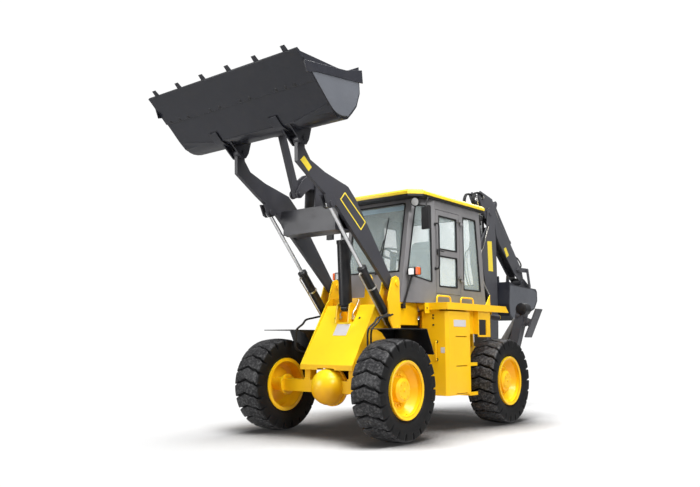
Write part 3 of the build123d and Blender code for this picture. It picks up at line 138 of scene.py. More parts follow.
def tube(path, radius, count=12):
    """A circle carried along a path; it stands square to the path and is turned by the plane the path lies
    nearest to."""
    path = np.asarray(path, float)
    way = np.gradient(path, axis=0)
    way /= np.linalg.norm(way, axis=1, keepdims=True)
    if len(path) > 2:
        flat = np.linalg.svd(path - path.mean(0))[2][-1]
    else:
        flat = np.cross(way[0], [0.31, 0.52, 0.79])
    side = flat - (way @ flat)[:, None] * way
    side /= np.linalg.norm(side, axis=1, keepdims=True)
    other = np.cross(way, side)
    angle = turns(count)[None, :, None]
    radius = np.broadcast_to(np.asarray(radius, float).reshape(-1, 1, 1), (len(path), 1, 1))
    grid = path[:, None] + radius * (np.cos(angle) * side[:, None] + np.sin(angle) * other[:, None])
    return skin(grid, around=True)


def moved(shape, by=(0, 0, 0), mirror=False):
    """A copy of a shape moved by a vector, or mirrored to the machine's other side with its faces turned
    back outwards."""
    points, quads, caps = shape
    if mirror:
        return points * [-1, 1, 1], quads[:, ::-1], [loop[::-1] for loop in caps]
    return points + np.asarray(by, float), quads, caps


def both(*shapes):
    """Shapes of the left side and their mirrors on the right."""
    return [*shapes, *(moved(shape, mirror=True) for shape in shapes)]


def nut(spot, way, radius, height, crown, top, sides=6):
    """A bolt's head on a face: straight up to its height, then drawn in over its crown to radius top."""
    return turned([(0, radius), (height, radius), (height + crown, top)], spot, way, sides)


def ring_of_nuts(centre, way, ring, count, *head):
    """Nuts at equal angles on a circle about a line that runs along X or Y."""
    across = np.abs([way[1], way[0], 0.0])
    spots = [np.asarray(centre, float) + ring * (np.cos(a) * across + np.sin(a) * UP) for a in turns(count)]
    return [nut(spot, way, *head) for spot in spots]


BEVEL_OVER = 40    # degrees: sharper edges than this are rounded


def put(name, shapes, finish, body, bevel=0.0, smooth=35, steps=2, stands_for=()):
    """Joins shapes into one mesh in the frame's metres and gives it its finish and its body."""
    shapes = shapes if isinstance(shapes, list) else [shapes]
    starts = np.cumsum([0] + [len(shape[0]) for shape in shapes])
    points = place(np.concatenate([shape[0] for shape in shapes]))
    faces = []
    for start, (_, quads, caps) in zip(starts, shapes):
        faces += (quads + start).tolist()
        faces += [[corner + int(start) for corner in loop] for loop in caps]
    mesh = bpy.data.meshes.new(name)
    mesh.from_pydata(points.tolist(), [], faces)
    work = bmesh.new()
    work.from_mesh(mesh)
    bmesh.ops.remove_doubles(work, verts=work.verts, dist=1e-6)
    bmesh.ops.recalc_face_normals(work, faces=work.faces)
    work.to_mesh(mesh)
    work.free()
    mesh.polygons.foreach_set("use_smooth", np.ones(len(mesh.polygons), bool))
    mesh.set_sharp_from_angle(angle=math.radians(smooth))
    piece = bpy.data.objects.new(name, mesh)
    bpy.context.scene.collection.objects.link(piece)
    if bevel:
        edge = piece.modifiers.new("edges", "BEVEL")
        edge.width, edge.segments, edge.limit_method = bevel / 1000, steps, "ANGLE"
        edge.angle_limit = math.radians(BEVEL_OVER)
        edge.harden_normals = False
    mesh.materials.append(finish)
    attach(piece, body)
    if stands_for:
        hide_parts(*stands_for)
    return piece


# Finishes


class Value:
    """A number, colour or vector inside a finish. Operators on it add the nodes that work them out."""

    def __init__(self, finish, socket):
        self.finish, self.socket = finish, socket

    def maths(self, operation, *others):
        return self.finish.node("Math", {"operation": operation}, dict(enumerate((self, *others))))

    def flipped(self, operation, other):
        return self.finish.node("Math", {"operation": operation}, {0: other, 1: self})

    def __add__(self, other):
        return self.maths("ADD", other)

    def __sub__(self, other):
        return self.maths("SUBTRACT", other)

    def __mul__(self, other):
        return self.maths("MULTIPLY", other)

    def __pow__(self, other):
        return self.maths("POWER", other)

    def __rsub__(self, other):
        return self.flipped("SUBTRACT", other)

    __radd__, __rmul__ = __add__, __mul__

    def over(self, low, high):
        """0 at or below low, 1 at or above high, smooth between."""
        settings = {"interpolation_type": "SMOOTHSTEP"}
        return self.finish.node("MapRange", settings, {"Value": self, "From Min": low, "From Max": high})


class Finish:
    """One procedural material: node() adds a node, and what varies goes to the shader by feed()."""

    def __init__(self, name, **plain):
        self.material = bpy.data.materials.new(name)
        self.material.use_nodes = True
        self.nodes, self.links = self.material.node_tree.nodes, self.material.node_tree.links
        self.shader = self.nodes["Principled BSDF"]
        for socket, number in plain.items():
            self.shader.inputs[socket.replace("_", " ")].default_value = number
        self.where = self.node("TexCoord", out="Object")

    def node(self, kind, settings=None, sockets=None, out=0):
        made = self.nodes.new("ShaderNode" + kind)
        for key, setting in (settings or {}).items():
            setattr(made, key, setting)
        for key, value in (sockets or {}).items():
            if isinstance(value, Value):
                self.links.new(value.socket, made.inputs[key])
            else:
                made.inputs[key].default_value = value
        return Value(self, made.outputs[out])

    def noise(self, scale, detail=4.0, rough=0.55, stretch=None):
        where = self.where
        if stretch:
            where = self.node("VectorMath", {"operation": "MULTIPLY"}, {0: where, 1: stretch})
        sockets = {"Vector": where, "Scale": scale, "Detail": detail, "Roughness": rough}
        return self.node("TexNoise", {}, sockets)

    def mix(self, part, first, second):
        """A colour between two colours."""
        colours = {6: (*first, 1) if isinstance(first, tuple) else first,
                   7: (*second, 1) if isinstance(second, tuple) else second}
        return self.node("Mix", {"data_type": "RGBA"}, {0: part, **colours}, out=2)

    def height(self):
        """Metres above the ground."""
        return self.node("SeparateXYZ", {}, {0: self.where}, out="Z")

    def edges(self, radius):
        """1 on edges and 0 on flats: how far the rounded normal leans from the plain one."""
        rounded = self.node("Bevel", {"samples": 4}, {"Radius": radius})
        plain = self.node("NewGeometry", out="Normal")
        near = self.node("VectorMath", {"operation": "DOT_PRODUCT"}, {0: rounded, 1: plain}, out="Value")
        return (1 - near).over(0.02, 0.25)

    def feed(self, **values):
        for socket, value in values.items():
            if isinstance(value, Value):
                self.links.new(value.socket, self.shader.inputs[socket.replace("_", " ")])
            else:
                self.shader.inputs[socket.replace("_", " ")].default_value = value

    def relief(self, height, depth, strength=1.0, rounding=0.0):
        """Bumps of a depth in metres, over edges rounded for the eye by a small radius."""
        sockets = {"Height": height, "Distance": depth, "Strength": strength}
        if rounding:
            sockets["Normal"] = self.node("Bevel", {"samples": 4}, {"Radius": rounding})
        self.feed(Normal=self.node("Bump", {}, sockets))


def paint(name, colour, shade, gloss=0.32, coat=0.15, dust=0.08, worn=0.25, lean=0.0):
    """Sprayed paint: slow drifts of tone, a fine orange peel, road dust low down and rubbed edges. Faces
    turned from the sky take up the share lean of the deeper tone, as painted shade."""
    finish = Finish(name, Specular_IOR_Level=0.36, Coat_Roughness=0.12)
    drift = finish.noise(1.7, 3).over(0.35, 0.7)
    cloud = finish.noise(9.0, 5, 0.6).over(0.45, 0.75)
    specks = finish.noise(160.0, 3, 0.7).over(0.60, 0.78)
    edge = finish.edges(0.006)
    normal = finish.node("NewGeometry", out="Normal")
    # Painted shade: how far a face turns from the sky, darkening it towards the deeper tone by the share
    # lean
    painted_shade_facing = 1 - finish.node("SeparateXYZ", {}, {0: normal}, out="Z").over(-0.5, 0.9)
    colour_now = finish.mix((drift * 0.5 + cloud * 0.2) * (1 - lean) + painted_shade_facing * lean, colour, shade)
    low = 1 - finish.height().over(0.1, 1.3)
    dusty = (low * 0.6 + 0.25) * cloud * dust + specks * dust * 0.25
    colour_now = finish.mix(dusty, colour_now, (0.33, 0.27, 0.19))
    rubbed = edge * finish.noise(38.0, 4, 0.65).over(0.52, 0.72) * worn
    colour_now = finish.mix(rubbed, colour_now, tuple(min(1.0, 0.10 + c * 1.35) for c in colour))
    finish.feed(Base_Color=colour_now, Coat_Weight=(1 - dusty) * coat,
                Roughness=gloss + cloud * 0.10 + dusty * 0.5 + rubbed * 0.2)
    finish.relief(finish.noise(210.0, 2) * 0.6 + specks * 0.5, 0.0004, 0.35, rounding=0.004)
    return finish.material


def rubber(name, tone=0.006, dust=0.06, grain=0.0006):
    """Moulded rubber: near black, dust in low places, fine grain."""
    finish = Finish(name, Specular_IOR_Level=0.4)
    cloud = finish.noise(6.0, 5, 0.6).over(0.35, 0.75)
    fine = finish.noise(220.0, 3, 0.6)
    low = 1 - finish.height().over(0.0, 0.9)
    dusty = cloud * (low * 0.6 + 0.4) * dust
    colour = finish.mix(cloud * 0.5, (tone, tone, tone * 1.08), (tone * 2.2, tone * 2.15, tone * 2.1))
    finish.feed(Base_Color=finish.mix(dusty, colour, (0.16, 0.14, 0.115)),
                Roughness=0.46 + fine * 0.16 + dusty * 0.3)
    finish.relief(fine + cloud * 0.5, grain, 0.5, rounding=0.004)
    return finish.material


def tyre_finish():
    """Moulded rubber, lighter grey on the lugs' tops, partly wear and dust and partly a painted sheen;
    near black in the grooves: the distance from the nearer axle tells tops from grooves."""
    finish = Finish("tyre_rubber", Specular_IOR_Level=0.30)
    along, up = (finish.node("SeparateXYZ", {}, {0: finish.where}, out=axis) for axis in "YZ")
    rise = (up - AXLE_Z / 1000) ** 2
    front, rear = ((along - (AXLE_Y + y / 1000)).maths("ABSOLUTE") for y in (0.0, WHEELBASE))
    radius = (front.maths("MINIMUM", rear) ** 2 + rise) ** 0.5
    top = radius.over(0.545, 0.572)
    cloud = finish.noise(6.0, 5, 0.6).over(0.35, 0.75)
    fine = finish.noise(220.0, 3, 0.6)
    scuff = finish.noise(34.0, 4, 0.65).over(0.40, 0.70)
    side = finish.mix(cloud * 0.5, (0.0015, 0.0015, 0.002), (0.004, 0.004, 0.004))
    # Lug tops: a worn grey that is partly real wear and dust and partly a painted sheen
    worn = finish.mix(scuff, (0.022, 0.022, 0.024), (0.095, 0.094, 0.096))
    dusty = cloud * (1 - radius.over(0.30, 0.50)) * 0.05
    colour = finish.mix(top * (scuff * 0.5 + 0.5), side, worn)
    finish.feed(Base_Color=finish.mix(dusty, colour, (0.16, 0.14, 0.115)),
                Roughness=0.62 + fine * 0.14 - top * 0.22)
    finish.relief(fine + cloud * 0.5, 0.0006, 0.5, rounding=0.004)
    return finish.material


def bright_metal(name, colour, rough=0.12, stretch=(1.0, 1.0, 1.0)):
    """Ground or plated metal: fine rings and faint oil film."""
    finish = Finish(name, Metallic=1.0)
    rings = finish.noise(90.0, 3, 0.6, stretch)
    film = finish.noise(7.0, 4).over(0.45, 0.7)
    finish.feed(Base_Color=finish.mix(film * 0.35, colour, tuple(c * 0.72 for c in colour)),
                Roughness=rough + rings * 0.12 + film * 0.1)
    finish.relief(rings, 0.00015, 0.3, rounding=0.002)
    return finish.material


def window(name, tint, alpha):
    """Clear pane: pale tint, mirror-smooth, with a faint film of dust in soft patches."""
    finish = Finish(name, Specular_IOR_Level=0.7, Coat_Weight=1.0, Coat_Roughness=0.02, IOR=1.5)
    film = finish.noise(5.0, 5, 0.6).over(0.5, 0.8)
    finish.feed(Base_Color=finish.mix(film * 0.4, tint, (0.75, 0.78, 0.76)),
                Roughness=0.04 + film * 0.07, Alpha=alpha + film * 0.06)
    return finish.material


def moulding(name, colour, rough=0.5, grain=0.0004):
    """Plastic or vinyl with a fine moulded grain and soft handling marks."""
    finish = Finish(name, Specular_IOR_Level=0.45)
    pores = finish.node("TexVoronoi", {}, {"Vector": finish.where, "Scale": 420.0})
    marks = finish.noise(12.0, 5, 0.6).over(0.5, 0.8)
    finish.feed(Base_Color=finish.mix(marks * 0.4, colour, tuple(min(1.0, c * 1.5 + 0.01) for c in colour)),
                Roughness=rough + marks * 0.15)
    finish.relief(pores * 0.8, grain, 0.4, rounding=0.003)
    return finish.material


# Base colours as seen in even light; the second colour of a paint is its deeper tone, used for slow drifts
# of tone, and on the machine yellow also as painted shade on faces turned from the sky.
YELLOW = (0.96, 0.72, 0.012)
YELLOW_DRIFT_AND_SHADE = (0.95, 0.42, 0.002)
yellow = paint("machine_yellow", YELLOW, YELLOW_DRIFT_AND_SHADE, gloss=0.30, coat=0.12, dust=0.03, lean=0.8)
roof_yellow = paint("roof_yellow", (0.86, 0.62, 0.03), (0.82, 0.56, 0.02), dust=0.05)
arm_grey = paint("arm_grey", (0.044, 0.044, 0.052), (0.033, 0.033, 0.039),
                 gloss=0.36, coat=0.12, worn=0.35)
bucket_grey = paint("bucket_grey", (0.017, 0.018, 0.025), (0.011, 0.012, 0.017),
                    gloss=0.30, coat=0.2, worn=0.6)
hoe_grey = paint("hoe_grey", (0.070, 0.071, 0.080), (0.045, 0.046, 0.054),
                 gloss=0.36, coat=0.12, worn=0.35)
cab_grey = paint("cab_grey", (0.20, 0.195, 0.20), (0.15, 0.147, 0.152),
                 gloss=0.38, coat=0.15, dust=0.05, worn=0.15)
black_paint = paint("black_paint", (0.008, 0.008, 0.010), (0.012, 0.012, 0.014),
                    gloss=0.38, coat=0.2, worn=0.3)
iron = paint("engine_iron", (0.075, 0.075, 0.078), (0.05, 0.05, 0.052),
             gloss=0.55, coat=0.0, dust=0.3, worn=0.3)
tyre_rubber = tyre_finish()
hose_rubber = rubber("hose_rubber", 0.006, 0.03, 0.0003)
chrome = bright_metal("hard_chrome", (0.78, 0.78, 0.79))
zinc = bright_metal("zinc_plate", (0.62, 0.60, 0.55), 0.28)
glass = window("cab_window", (0.74, 0.88, 0.88), 0.24)
vinyl = moulding("seat_vinyl", (0.020, 0.020, 0.022), 0.55)
black_plastic = moulding("black_plastic", (0.012, 0.012, 0.013), 0.42)

NODE_FINISH = {
    "yellow": yellow, "dark_grey": hoe_grey, "cab_grey": cab_grey, "black": black_paint,
    "rubber": tyre_rubber, "rod_chrome": chrome, "window": glass, "seat_cover": vinyl, "steel": iron,
}
OWN_FINISH = {
    "loader_arms": arm_grey, "bellcrank": arm_grey, "bucket_link": arm_grey,
    "loader_bucket": bucket_grey, "hoe_bucket": bucket_grey, "cab_roof": roof_yellow,
    "head_lamps": black_plastic, "mirrors": black_plastic,
}
slot_of = {entry["node"]: entry["material_slot"] for entry in frame["record"]["subparts"]}
for name, node in frame["nodes"].items():
    finish = OWN_FINISH.get(name, NODE_FINISH[slot_of[name]])
    node.data.materials.clear()
    node.data.materials.append(finish)

# Tyres

LUGS = 22
TREAD = np.array([
    # x and radius in a groove, x and radius on a lug
    (152, 306, 152, 306), (156, 338, 156, 338), (163, 350, 163, 350), (176, 372, 176, 372),
    (180, 374, 180, 374), (192, 410, 192, 410), (203, 450, 203, 450), (204, 474, 205, 474),
    (192, 490, 205, 492), (182, 508, 205, 514), (172, 524, 204, 540), (162, 534, 200, 559),
    (152, 539, 190, 567.5), (140, 542, 178, 571), (120, 544, 140, 576.5), (92, 546, 98, 581),
    (60, 547, 60, 584.5), (30, 548, 30, 586.5), (0, 548, 0, 587.5),
])
LUG_TURN = np.array([
    # share of the pitch, height of the lug
    (0.00, 0), (0.06, 0), (0.10, 0.93), (0.12, 1), (0.25, 1), (0.42, 1), (0.60, 1), (0.76, 1), (0.88, 1),
    (0.90, 0.93), (0.94, 0),
])
TYRE_HALF = 205       # half the tyre's width
BEAD_R = 306          # where the tyre meets the rim
LUG_ROOT_R = 520      # outside this radius the lugs have their full lead
LUG_LEAD = 0.46       # how far the chevron's tip leads its ends, as a share of the pitch
LUG_KNEE = 0.10       # how far its outer half bends ahead, as a share of the pitch


def tyre(centre):
    """Section points slide between the groove's line and the lug's by the lug height round the wheel;
    every point is then turned ahead by the chevron, whose tip at mid-tread leads its ends by under half a
    pitch."""
    across = np.concatenate([TREAD * [-1, 1, -1, 1], TREAD[-2::-1]])[None]
    share = (np.arange(LUGS)[:, None] + LUG_TURN[:, 0]).reshape(-1, 1)
    height = np.tile(LUG_TURN[:, 1], LUGS)[:, None]
    x = across[..., 0] + height * (across[..., 2] - across[..., 0])
    radius = across[..., 1] + height * (across[..., 3] - across[..., 1])
    out = np.clip(np.abs(across[..., 2]) / TYRE_HALF, 0, 1)
    lead = LUG_LEAD * (1 - out) + LUG_KNEE * np.sin(np.pi * np.clip(out * 2.2 - 1.1, 0, 1))
    wall = lead * (across[..., 3] - BEAD_R) / (LUG_ROOT_R - BEAD_R)
    lead = np.where(across[..., 3] < LUG_ROOT_R, wall, lead)
    angle = (share + lead) * 2 * np.pi / LUGS
    grid = np.stack([x, -np.cos(angle) * radius, np.sin(angle) * radius], -1) + np.asarray(centre, float)
    return skin(grid, around=True, along=True)


WHEELS = [
    # name, side, y
    ("front_left", 1, 0.0),
    ("front_right", -1, 0.0),
    ("rear_left", 1, WHEELBASE),
    ("rear_right", -1, WHEELBASE),
]
HUB_NUTS = (138, 88, 8)      # out from the tyre's middle plane, radius of the ring, count
RIM_NUTS = (40, 176, 10)     # the same
RIM_LIP = [
    # out from the tyre's middle plane, radius
    (170, 318), (174, 334), (182, 337), (187, 330), (184, 318), (178, 300),
]
for name, side, y in WHEELS:
    hub = np.array([side * TRACK / 2, y, AXLE_Z])
    out = side * LEFT
    put("treaded_tyre_" + name, tyre(hub), tyre_rubber, "wheel_" + name, smooth=42,
        stands_for=["tyre_" + name])
    reach, ring, count = HUB_NUTS
    nuts = ring_of_nuts(hub + reach * out, out, ring, count, 8, 9, 2, 5)
    nuts.append(nut(hub + reach * out, out, 22, 6, 4, 16, 24))
    reach, ring, count = RIM_NUTS
    nuts += ring_of_nuts(hub + reach * out, out, ring, count, 19, 13, 3, 15)
    stem = hub + [side * 140, 0, -278]
    nuts.append(tube([stem, stem + [side * 16, 0, 6], stem + [side * 34, 0, 18]], 5))
    put("wheel_bolts_" + name, nuts, yellow, "wheel_" + name, bevel=1.5)
    lip = turned([(side * reach, radius) for reach, radius in RIM_LIP], hub, (1, 0, 0), 72, ring=True)
    put("rim_lip_" + name, lip, yellow, "wheel_" + name)

# Cab: seals, wiper, handles


def inset(loop, face_way, width):
    """A loop of corners drawn inwards in its own plane, each corner along its mitre."""
    side = np.roll(loop, -1, 0) - loop
    side /= np.linalg.norm(side, axis=1, keepdims=True)
    inward = np.cross(face_way, side)
    before = np.roll(inward, 1, 0)
    return loop + width * (before + inward) / (1 + (before * inward).sum(1, keepdims=True))


def rounded(outline, radius, steps=5):
    """An outline of (a, b) pairs with each corner replaced by an arc that starts radius before it and ends
    radius after it: a quadratic curve between those two points with the corner as its middle control
    point."""
    p = np.asarray(outline, float)
    back, on = np.roll(p, 1, 0) - p, np.roll(p, -1, 0) - p
    start = p + radius * back / np.linalg.norm(back, axis=1, keepdims=True)
    stop = p + radius * on / np.linalg.norm(on, axis=1, keepdims=True)
    t = np.linspace(0, 1, steps)[None, :, None]
    arc = (1 - t) ** 2 * start[:, None] + 2 * t * (1 - t) * p[:, None] + t ** 2 * stop[:, None]
    return arc.reshape(-1, 2)


def rim_of(loop, face_way, width, low, high):
    """A flat ring along a loop: the loop and its inset, carried from low to high along the way it faces."""
    loop, face_way = np.asarray(loop, float), np.asarray(face_way, float)
    inner = inset(loop, face_way, width)
    grid = [loop + low * face_way, inner + low * face_way, inner + high * face_way, loop + high * face_way]
    return skin(np.stack(grid, 1), around=True, along=True)


def plate_of(loop, face_way, low, high):
    """A flat plate filling a loop, carried from low to high along the way it faces."""
    loop, face_way = np.asarray(loop, float), np.asarray(face_way, float)
    return skin(np.stack([loop + low * face_way, loop + high * face_way]), around=True)


def seal(loop, face_way, proud=4, width=18, sunk=18):
    """A rubber rim round a pane, from inside the wall to a little proud of it."""
    return rim_of(loop, face_way, width, -sunk, proud)


CAB_SIDE = 710.0
GLASS_Z, GLASS_RISE = 1640.0, 1420.0      # foot of the cab's walls, and their height
SCREEN_Y, SCREEN_RAKE = 760.0, 260.0      # the windscreen's foot, and how far it leans back
BACK_Y, BACK_RAKE = 2660.0, 160.0         # the rear wall's foot, and how far it leans forward
QUARTER_X, QUARTER_RUN = 500.0, 210.0     # the slanted pane's front edge, and how far it widens
DOOR_POST_Y = 1280.0                      # where the slanted pane ends
SCREEN_WAY = np.array([0, -GLASS_RISE, SCREEN_RAKE]) / math.hypot(GLASS_RISE, SCREEN_RAKE)
BACK_WAY = np.array([0, GLASS_RISE, BACK_RAKE]) / math.hypot(GLASS_RISE, BACK_RAKE)
QUARTER_WAY = np.array([430.0, -210.0, 40.0]) / math.sqrt(430 ** 2 + 210 ** 2 + 40 ** 2)


def on_side(outline, x=CAB_SIDE):
    """(y, z) pairs on the cab's flat side, anticlockwise as seen from outside."""
    pairs = np.asarray(outline, float)
    return np.column_stack([np.full(len(pairs), x), pairs])


def on_screen(outline):
    """(x, z) pairs on the sloping windscreen: y grows with z in proportion."""
    pairs = np.asarray(outline, float)
    y = SCREEN_Y + SCREEN_RAKE * (pairs[:, 1] - GLASS_Z) / GLASS_RISE
    return np.column_stack([pairs[:, 0], y, pairs[:, 1]])


def on_back(outline):
    """(x, z) pairs on the sloping rear wall."""
    pairs = np.asarray(outline, float)
    y = BACK_Y - BACK_RAKE * (pairs[:, 1] - GLASS_Z) / GLASS_RISE
    return np.column_stack([pairs[:, 0], y, pairs[:, 1]])


def on_quarter(outline):
    """(y, z) pairs on the slanted pane beside the windscreen: x runs in proportion from the corner to the
    door's post."""
    pairs = np.asarray(outline, float)
    front = SCREEN_Y + SCREEN_RAKE * (pairs[:, 1] - GLASS_Z) / GLASS_RISE
    x = QUARTER_X + QUARTER_RUN * (pairs[:, 0] - front) / (DOOR_POST_Y - front)
    return np.column_stack([x, pairs])


def facing_front(outline, y):
    """(x, z) pairs on an upright plane that looks forward."""
    pairs = np.asarray(outline, float)
    return np.column_stack([pairs[:, 0], np.full(len(pairs), y), pairs[:, 1]])


screen = on_screen(rounded(corners(-440, 2040, 440, 2990), 45))
rear_pane = on_back(rounded(corners(560, 1950, -560, 2960), 45))
quarter = on_quarter(rounded([(880, 2010), (1240, 1910), (1240, 2960), (1060, 2960)], 35))
tail = on_side(rounded([(2025, 1850), (2520, 1850), (2400, 2900), (2025, 2900)], 35))
seals = [seal(screen, SCREEN_WAY, 3, 20), seal(rear_pane, BACK_WAY, 3, 20)]
seals += both(seal(quarter, QUARTER_WAY))
seals += both(seal(tail, LEFT))
put("window_seals", seals, hose_rubber, "chassis", smooth=50)

low_pane = on_side(rounded(corners(1378, 1864, 1859, 2290), 30))
high_pane = on_side(rounded(corners(1378, 2370, 1859, 2839), 30))
put("door_seals", [seal(low_pane, LEFT), seal(high_pane, LEFT)], hose_rubber, "door", smooth=50)
put("door_lock", [
    brick((710, 1322, 2292), (722, 1372, 2368)), tube([(716, 1345, 2345), (742, 1345, 2345)], 9),
    tube(flow([(742, 1345, 2345), (752, 1365, 2344), (752, 1440, 2338)], 6), 8),
], black_plastic, "door", bevel=3)

GRAB = flow([(712, 1292, 2700), (745, 1290, 2712), (765, 1296, 2690), (768, 1298, 2600), (768, 1298, 2230),
             (765, 1296, 2130), (745, 1290, 2098), (712, 1290, 2104)], 8)
feet = [nut((CAB_SIDE, 1291, z), LEFT, 24, 5, 3, 18, 16) for z in (2700, 2102)]
put("grab_rails", both(tube(GRAB, 11), *feet), black_paint, "chassis")

gutter = [(602, 800), (752, 956), (752, 2590), (-752, 2590), (-752, 956), (-602, 800)]
put("roof_gutter", [prism(gutter, 3034, 3061, "z")], black_plastic, "chassis", bevel=3)

wiper = [
    tube(on_screen([(60, 2030), (60, 2080)]) + SCREEN_WAY * 22, 9),
    tube(on_screen([(60, 2080), (150, 2480)]) + SCREEN_WAY * 26, 6),
    plate_of(on_screen([(128, 2240), (140, 2238), (196, 2800), (184, 2802)]), SCREEN_WAY, 8, 20),
    nut((60, 834, 2040), SCREEN_WAY, 20, 14, 10, 12, 20),
]
put("wiper", wiper, black_plastic, "chassis", bevel=1)
band_blue = paint("screen_band", (0.42, 0.55, 0.62), (0.36, 0.49, 0.56), dust=0.03)
band = plate_of(on_screen(corners(-405, 2890, 405, 2955)), SCREEN_WAY, -13, -11.5)
put("screen_band", band, band_blue, "chassis")

# Seat


def cushion(centre, half, channels, up="z"):
    """A stuffed form: a rounded box whose four sides pull in between the corners and whose face swells to a
    crown; sewn channels press thin valleys across it, each a bell curve about its line."""
    v = np.linspace(-np.pi / 2, np.pi / 2, 40)[:, None]
    u = turns(96)[None]
    full = lambda value, power: np.sign(value) * np.abs(value) ** power
    a = full(np.cos(v), 0.35) * full(np.cos(u), 0.30)
    b = full(np.cos(v), 0.35) * full(np.sin(u), 0.30)
    c = full(np.sin(v), 0.75) * np.ones_like(u)
    waist = 1 - 0.035 * (1 - np.maximum(np.abs(a), np.abs(b)) ** 2)
    pull = 1 - 0.05 * np.abs(c)
    crown = 0.80 + 0.20 * (1 - a ** 2) * (1 - b ** 2)
    c = c * np.where(c > 0, crown, 1)
    for line in channels:
        c = c - np.where(c > 0, 0.16 * np.exp(-((b - line) / 0.035) ** 2), 0)
    x, y, z = a * half[0] * waist * pull, b * half[1] * waist * pull, c * half[2]
    grid = np.stack([x, y, z] if up == "z" else [x, -z, y], -1) + np.asarray(centre, float)
    return skin(grid[1:-1], around=True)


seat_base = [
    brick((-190, 1850, 1640), (190, 1990, 1846)), brick((-225, 1650, 1842), (225, 2100, 1862)),
    tube([(-246, 1900, 1905), (-250, 2060, 1905)], 9), tube([(-60, 2150, 2560), (-60, 2150, 2640)], 7),
]
put("seat_base", seat_base, black_plastic, "chassis", bevel=4, stands_for=["seat"])
sitting = cushion((0, 1868, 1918), (246, 244, 60), (-0.45, 0.0, 0.45))
leaning = cushion((0, 2115, 2290), (238, 322, 54), (-0.55, -0.1, 0.35, 0.66), "y")
for name, shape in (("seat_cushion", sitting), ("seat_back", leaning)):
    soft = put(name, shape, vinyl, "chassis", smooth=180, stands_for=["seat"])

# Lamps

lamp_glass = window("lamp_lens", (0.92, 0.93, 0.92), 0.55)
amber = moulding("amber_lens", (0.90, 0.13, 0.01), 0.15, 0.0008)
silver = bright_metal("reflector", (0.86, 0.86, 0.85), 0.08)
HEAD_LAMP = (620, 850, 2040)      # its middle, on its front face
bezel = facing_front(rounded(corners(568, 1988, 672, 2092), 16), HEAD_LAMP[1])
put("head_lamp_bezels", both(rim_of(bezel, -REAR, 9, -10, 12)), black_plastic, "chassis", bevel=2)
pane = inset(bezel, -REAR, 8)
put("head_lamp_lenses", both(plate_of(pane, -REAR, 3, 8)), lamp_glass, "chassis")
bowl = turned([(0, 46), (3, 46), (3, 40), (1, 20), (1, 0.1)], HEAD_LAMP, -REAR, 32)
put("head_lamp_bowls", both(bowl), silver, "chassis")
side_loop = facing_front(rounded(corners(676, 1990, 728, 2090), 14), 856)
put("turn_lamps", both(plate_of(side_loop, -REAR, -44, 0)), amber, "chassis", bevel=6, steps=3)
turn_backs = both(plate_of(side_loop, -REAR, -60, -42))
put("turn_lamp_backs", turn_backs, black_plastic, "chassis", bevel=4)

WORK_LAMP_BOWL = [(-52, 12), (-46, 34), (-26, 54), (0, 62), (10, 62), (10, 54), (2, 52)]
WORK_LAMP_X, WORK_LAMP_Z = 640, 2965


def work_lamp(name, spot, way):
    """A round work lamp: a bowl turned about the way it looks, its lens and its mirror."""
    spot, way = np.asarray(spot, float), np.asarray(way, float) / np.linalg.norm(way)
    mirror = [(-1, 50), (1, 30), (2.2, 0.1)]
    lens = [(3, 53), (7, 40), (9, 20), (10, 0.1)]
    put(name + "_bowl", turned(WORK_LAMP_BOWL, spot, way, 36), black_plastic, "chassis")
    put(name + "_lens", turned(lens, spot, way, 36), lamp_glass, "chassis")
    put(name + "_mirror", turned(mirror, spot, way, 36), silver, "chassis")


for word, side in (("left", 1), ("right", -1)):
    x = side * WORK_LAMP_X
    work_lamp("front_work_lamp_" + word, (x, 925, WORK_LAMP_Z), (side * 0.15, -1, -0.25))
    work_lamp("rear_work_lamp_" + word, (x, 2640, WORK_LAMP_Z), (0, 1, -0.3))
    arms = [tube([(x, y0, 2990), (x, y1, 3045)], 9) for y0, y1 in ((950, 1010), (2590, 2540))]
    put("work_lamp_arms_" + word, arms, black_paint, "chassis")

# Blank plates

gold = paint("plate_border", (0.84, 0.66, 0.05), (0.80, 0.60, 0.04), dust=0.04)
pale = paint("plate_pale", (0.62, 0.60, 0.62), (0.55, 0.53, 0.56), dust=0.04)
arm_plate = on_side([(-474, 2798), (-77, 2474), (19, 2587), (-385, 2898)], 515)
arm_label = on_side([(-1164, 3140), (-1026, 3032), (-975, 3090), (-1103, 3198)], 515)
hoe_plate = on_side([(3893, 2300), (4052, 2300), (4028, 2812), (3880, 2800)], 112)
dip_label = on_side([(4622, 2590), (4710, 2640), (4600, 2770), (4520, 2740)], 86)
BORDER, LABEL = 2.5, 1.6      # how far a border and a label stand out


def labels(name, loop, finish, body):
    """A thin plate on the left face of a part and its mirror on the right face."""
    put(name, both(plate_of(loop, LEFT, 0, LABEL)), finish, body)


put("arm_plate_borders", both(rim_of(arm_plate, LEFT, 14, 0, BORDER)), gold, "arms")
labels("arm_plates", inset(arm_plate, LEFT, 13), arm_grey, "arms")
labels("arm_labels", arm_label, gold, "arms")
put("hoe_plate_border", both(rim_of(hoe_plate, LEFT, 14, 0, BORDER)), gold, "boom_body")
labels("hoe_plates", inset(hoe_plate, LEFT, 13), gold, "boom_body")
labels("dipper_labels", dip_label, gold, "dipper_body")

# Front frame: placard, pipes and screws on the sloping plate

SLOPE_Y, SLOPE_Z = -128.0, 853.0          # the plate's foot
SLOPE_RUN, SLOPE_RISE = 568.0, 847.0
SLOPE_WAY = np.array([0, -SLOPE_RISE, SLOPE_RUN]) / math.hypot(SLOPE_RISE, SLOPE_RUN)


def on_slope(outline):
    """(x, y) pairs on the front frame's sloping plate: z rises with y in proportion."""
    pairs = np.asarray(outline, float)
    return np.column_stack([pairs, SLOPE_Z + (pairs[:, 1] - SLOPE_Y) * SLOPE_RISE / SLOPE_RUN])


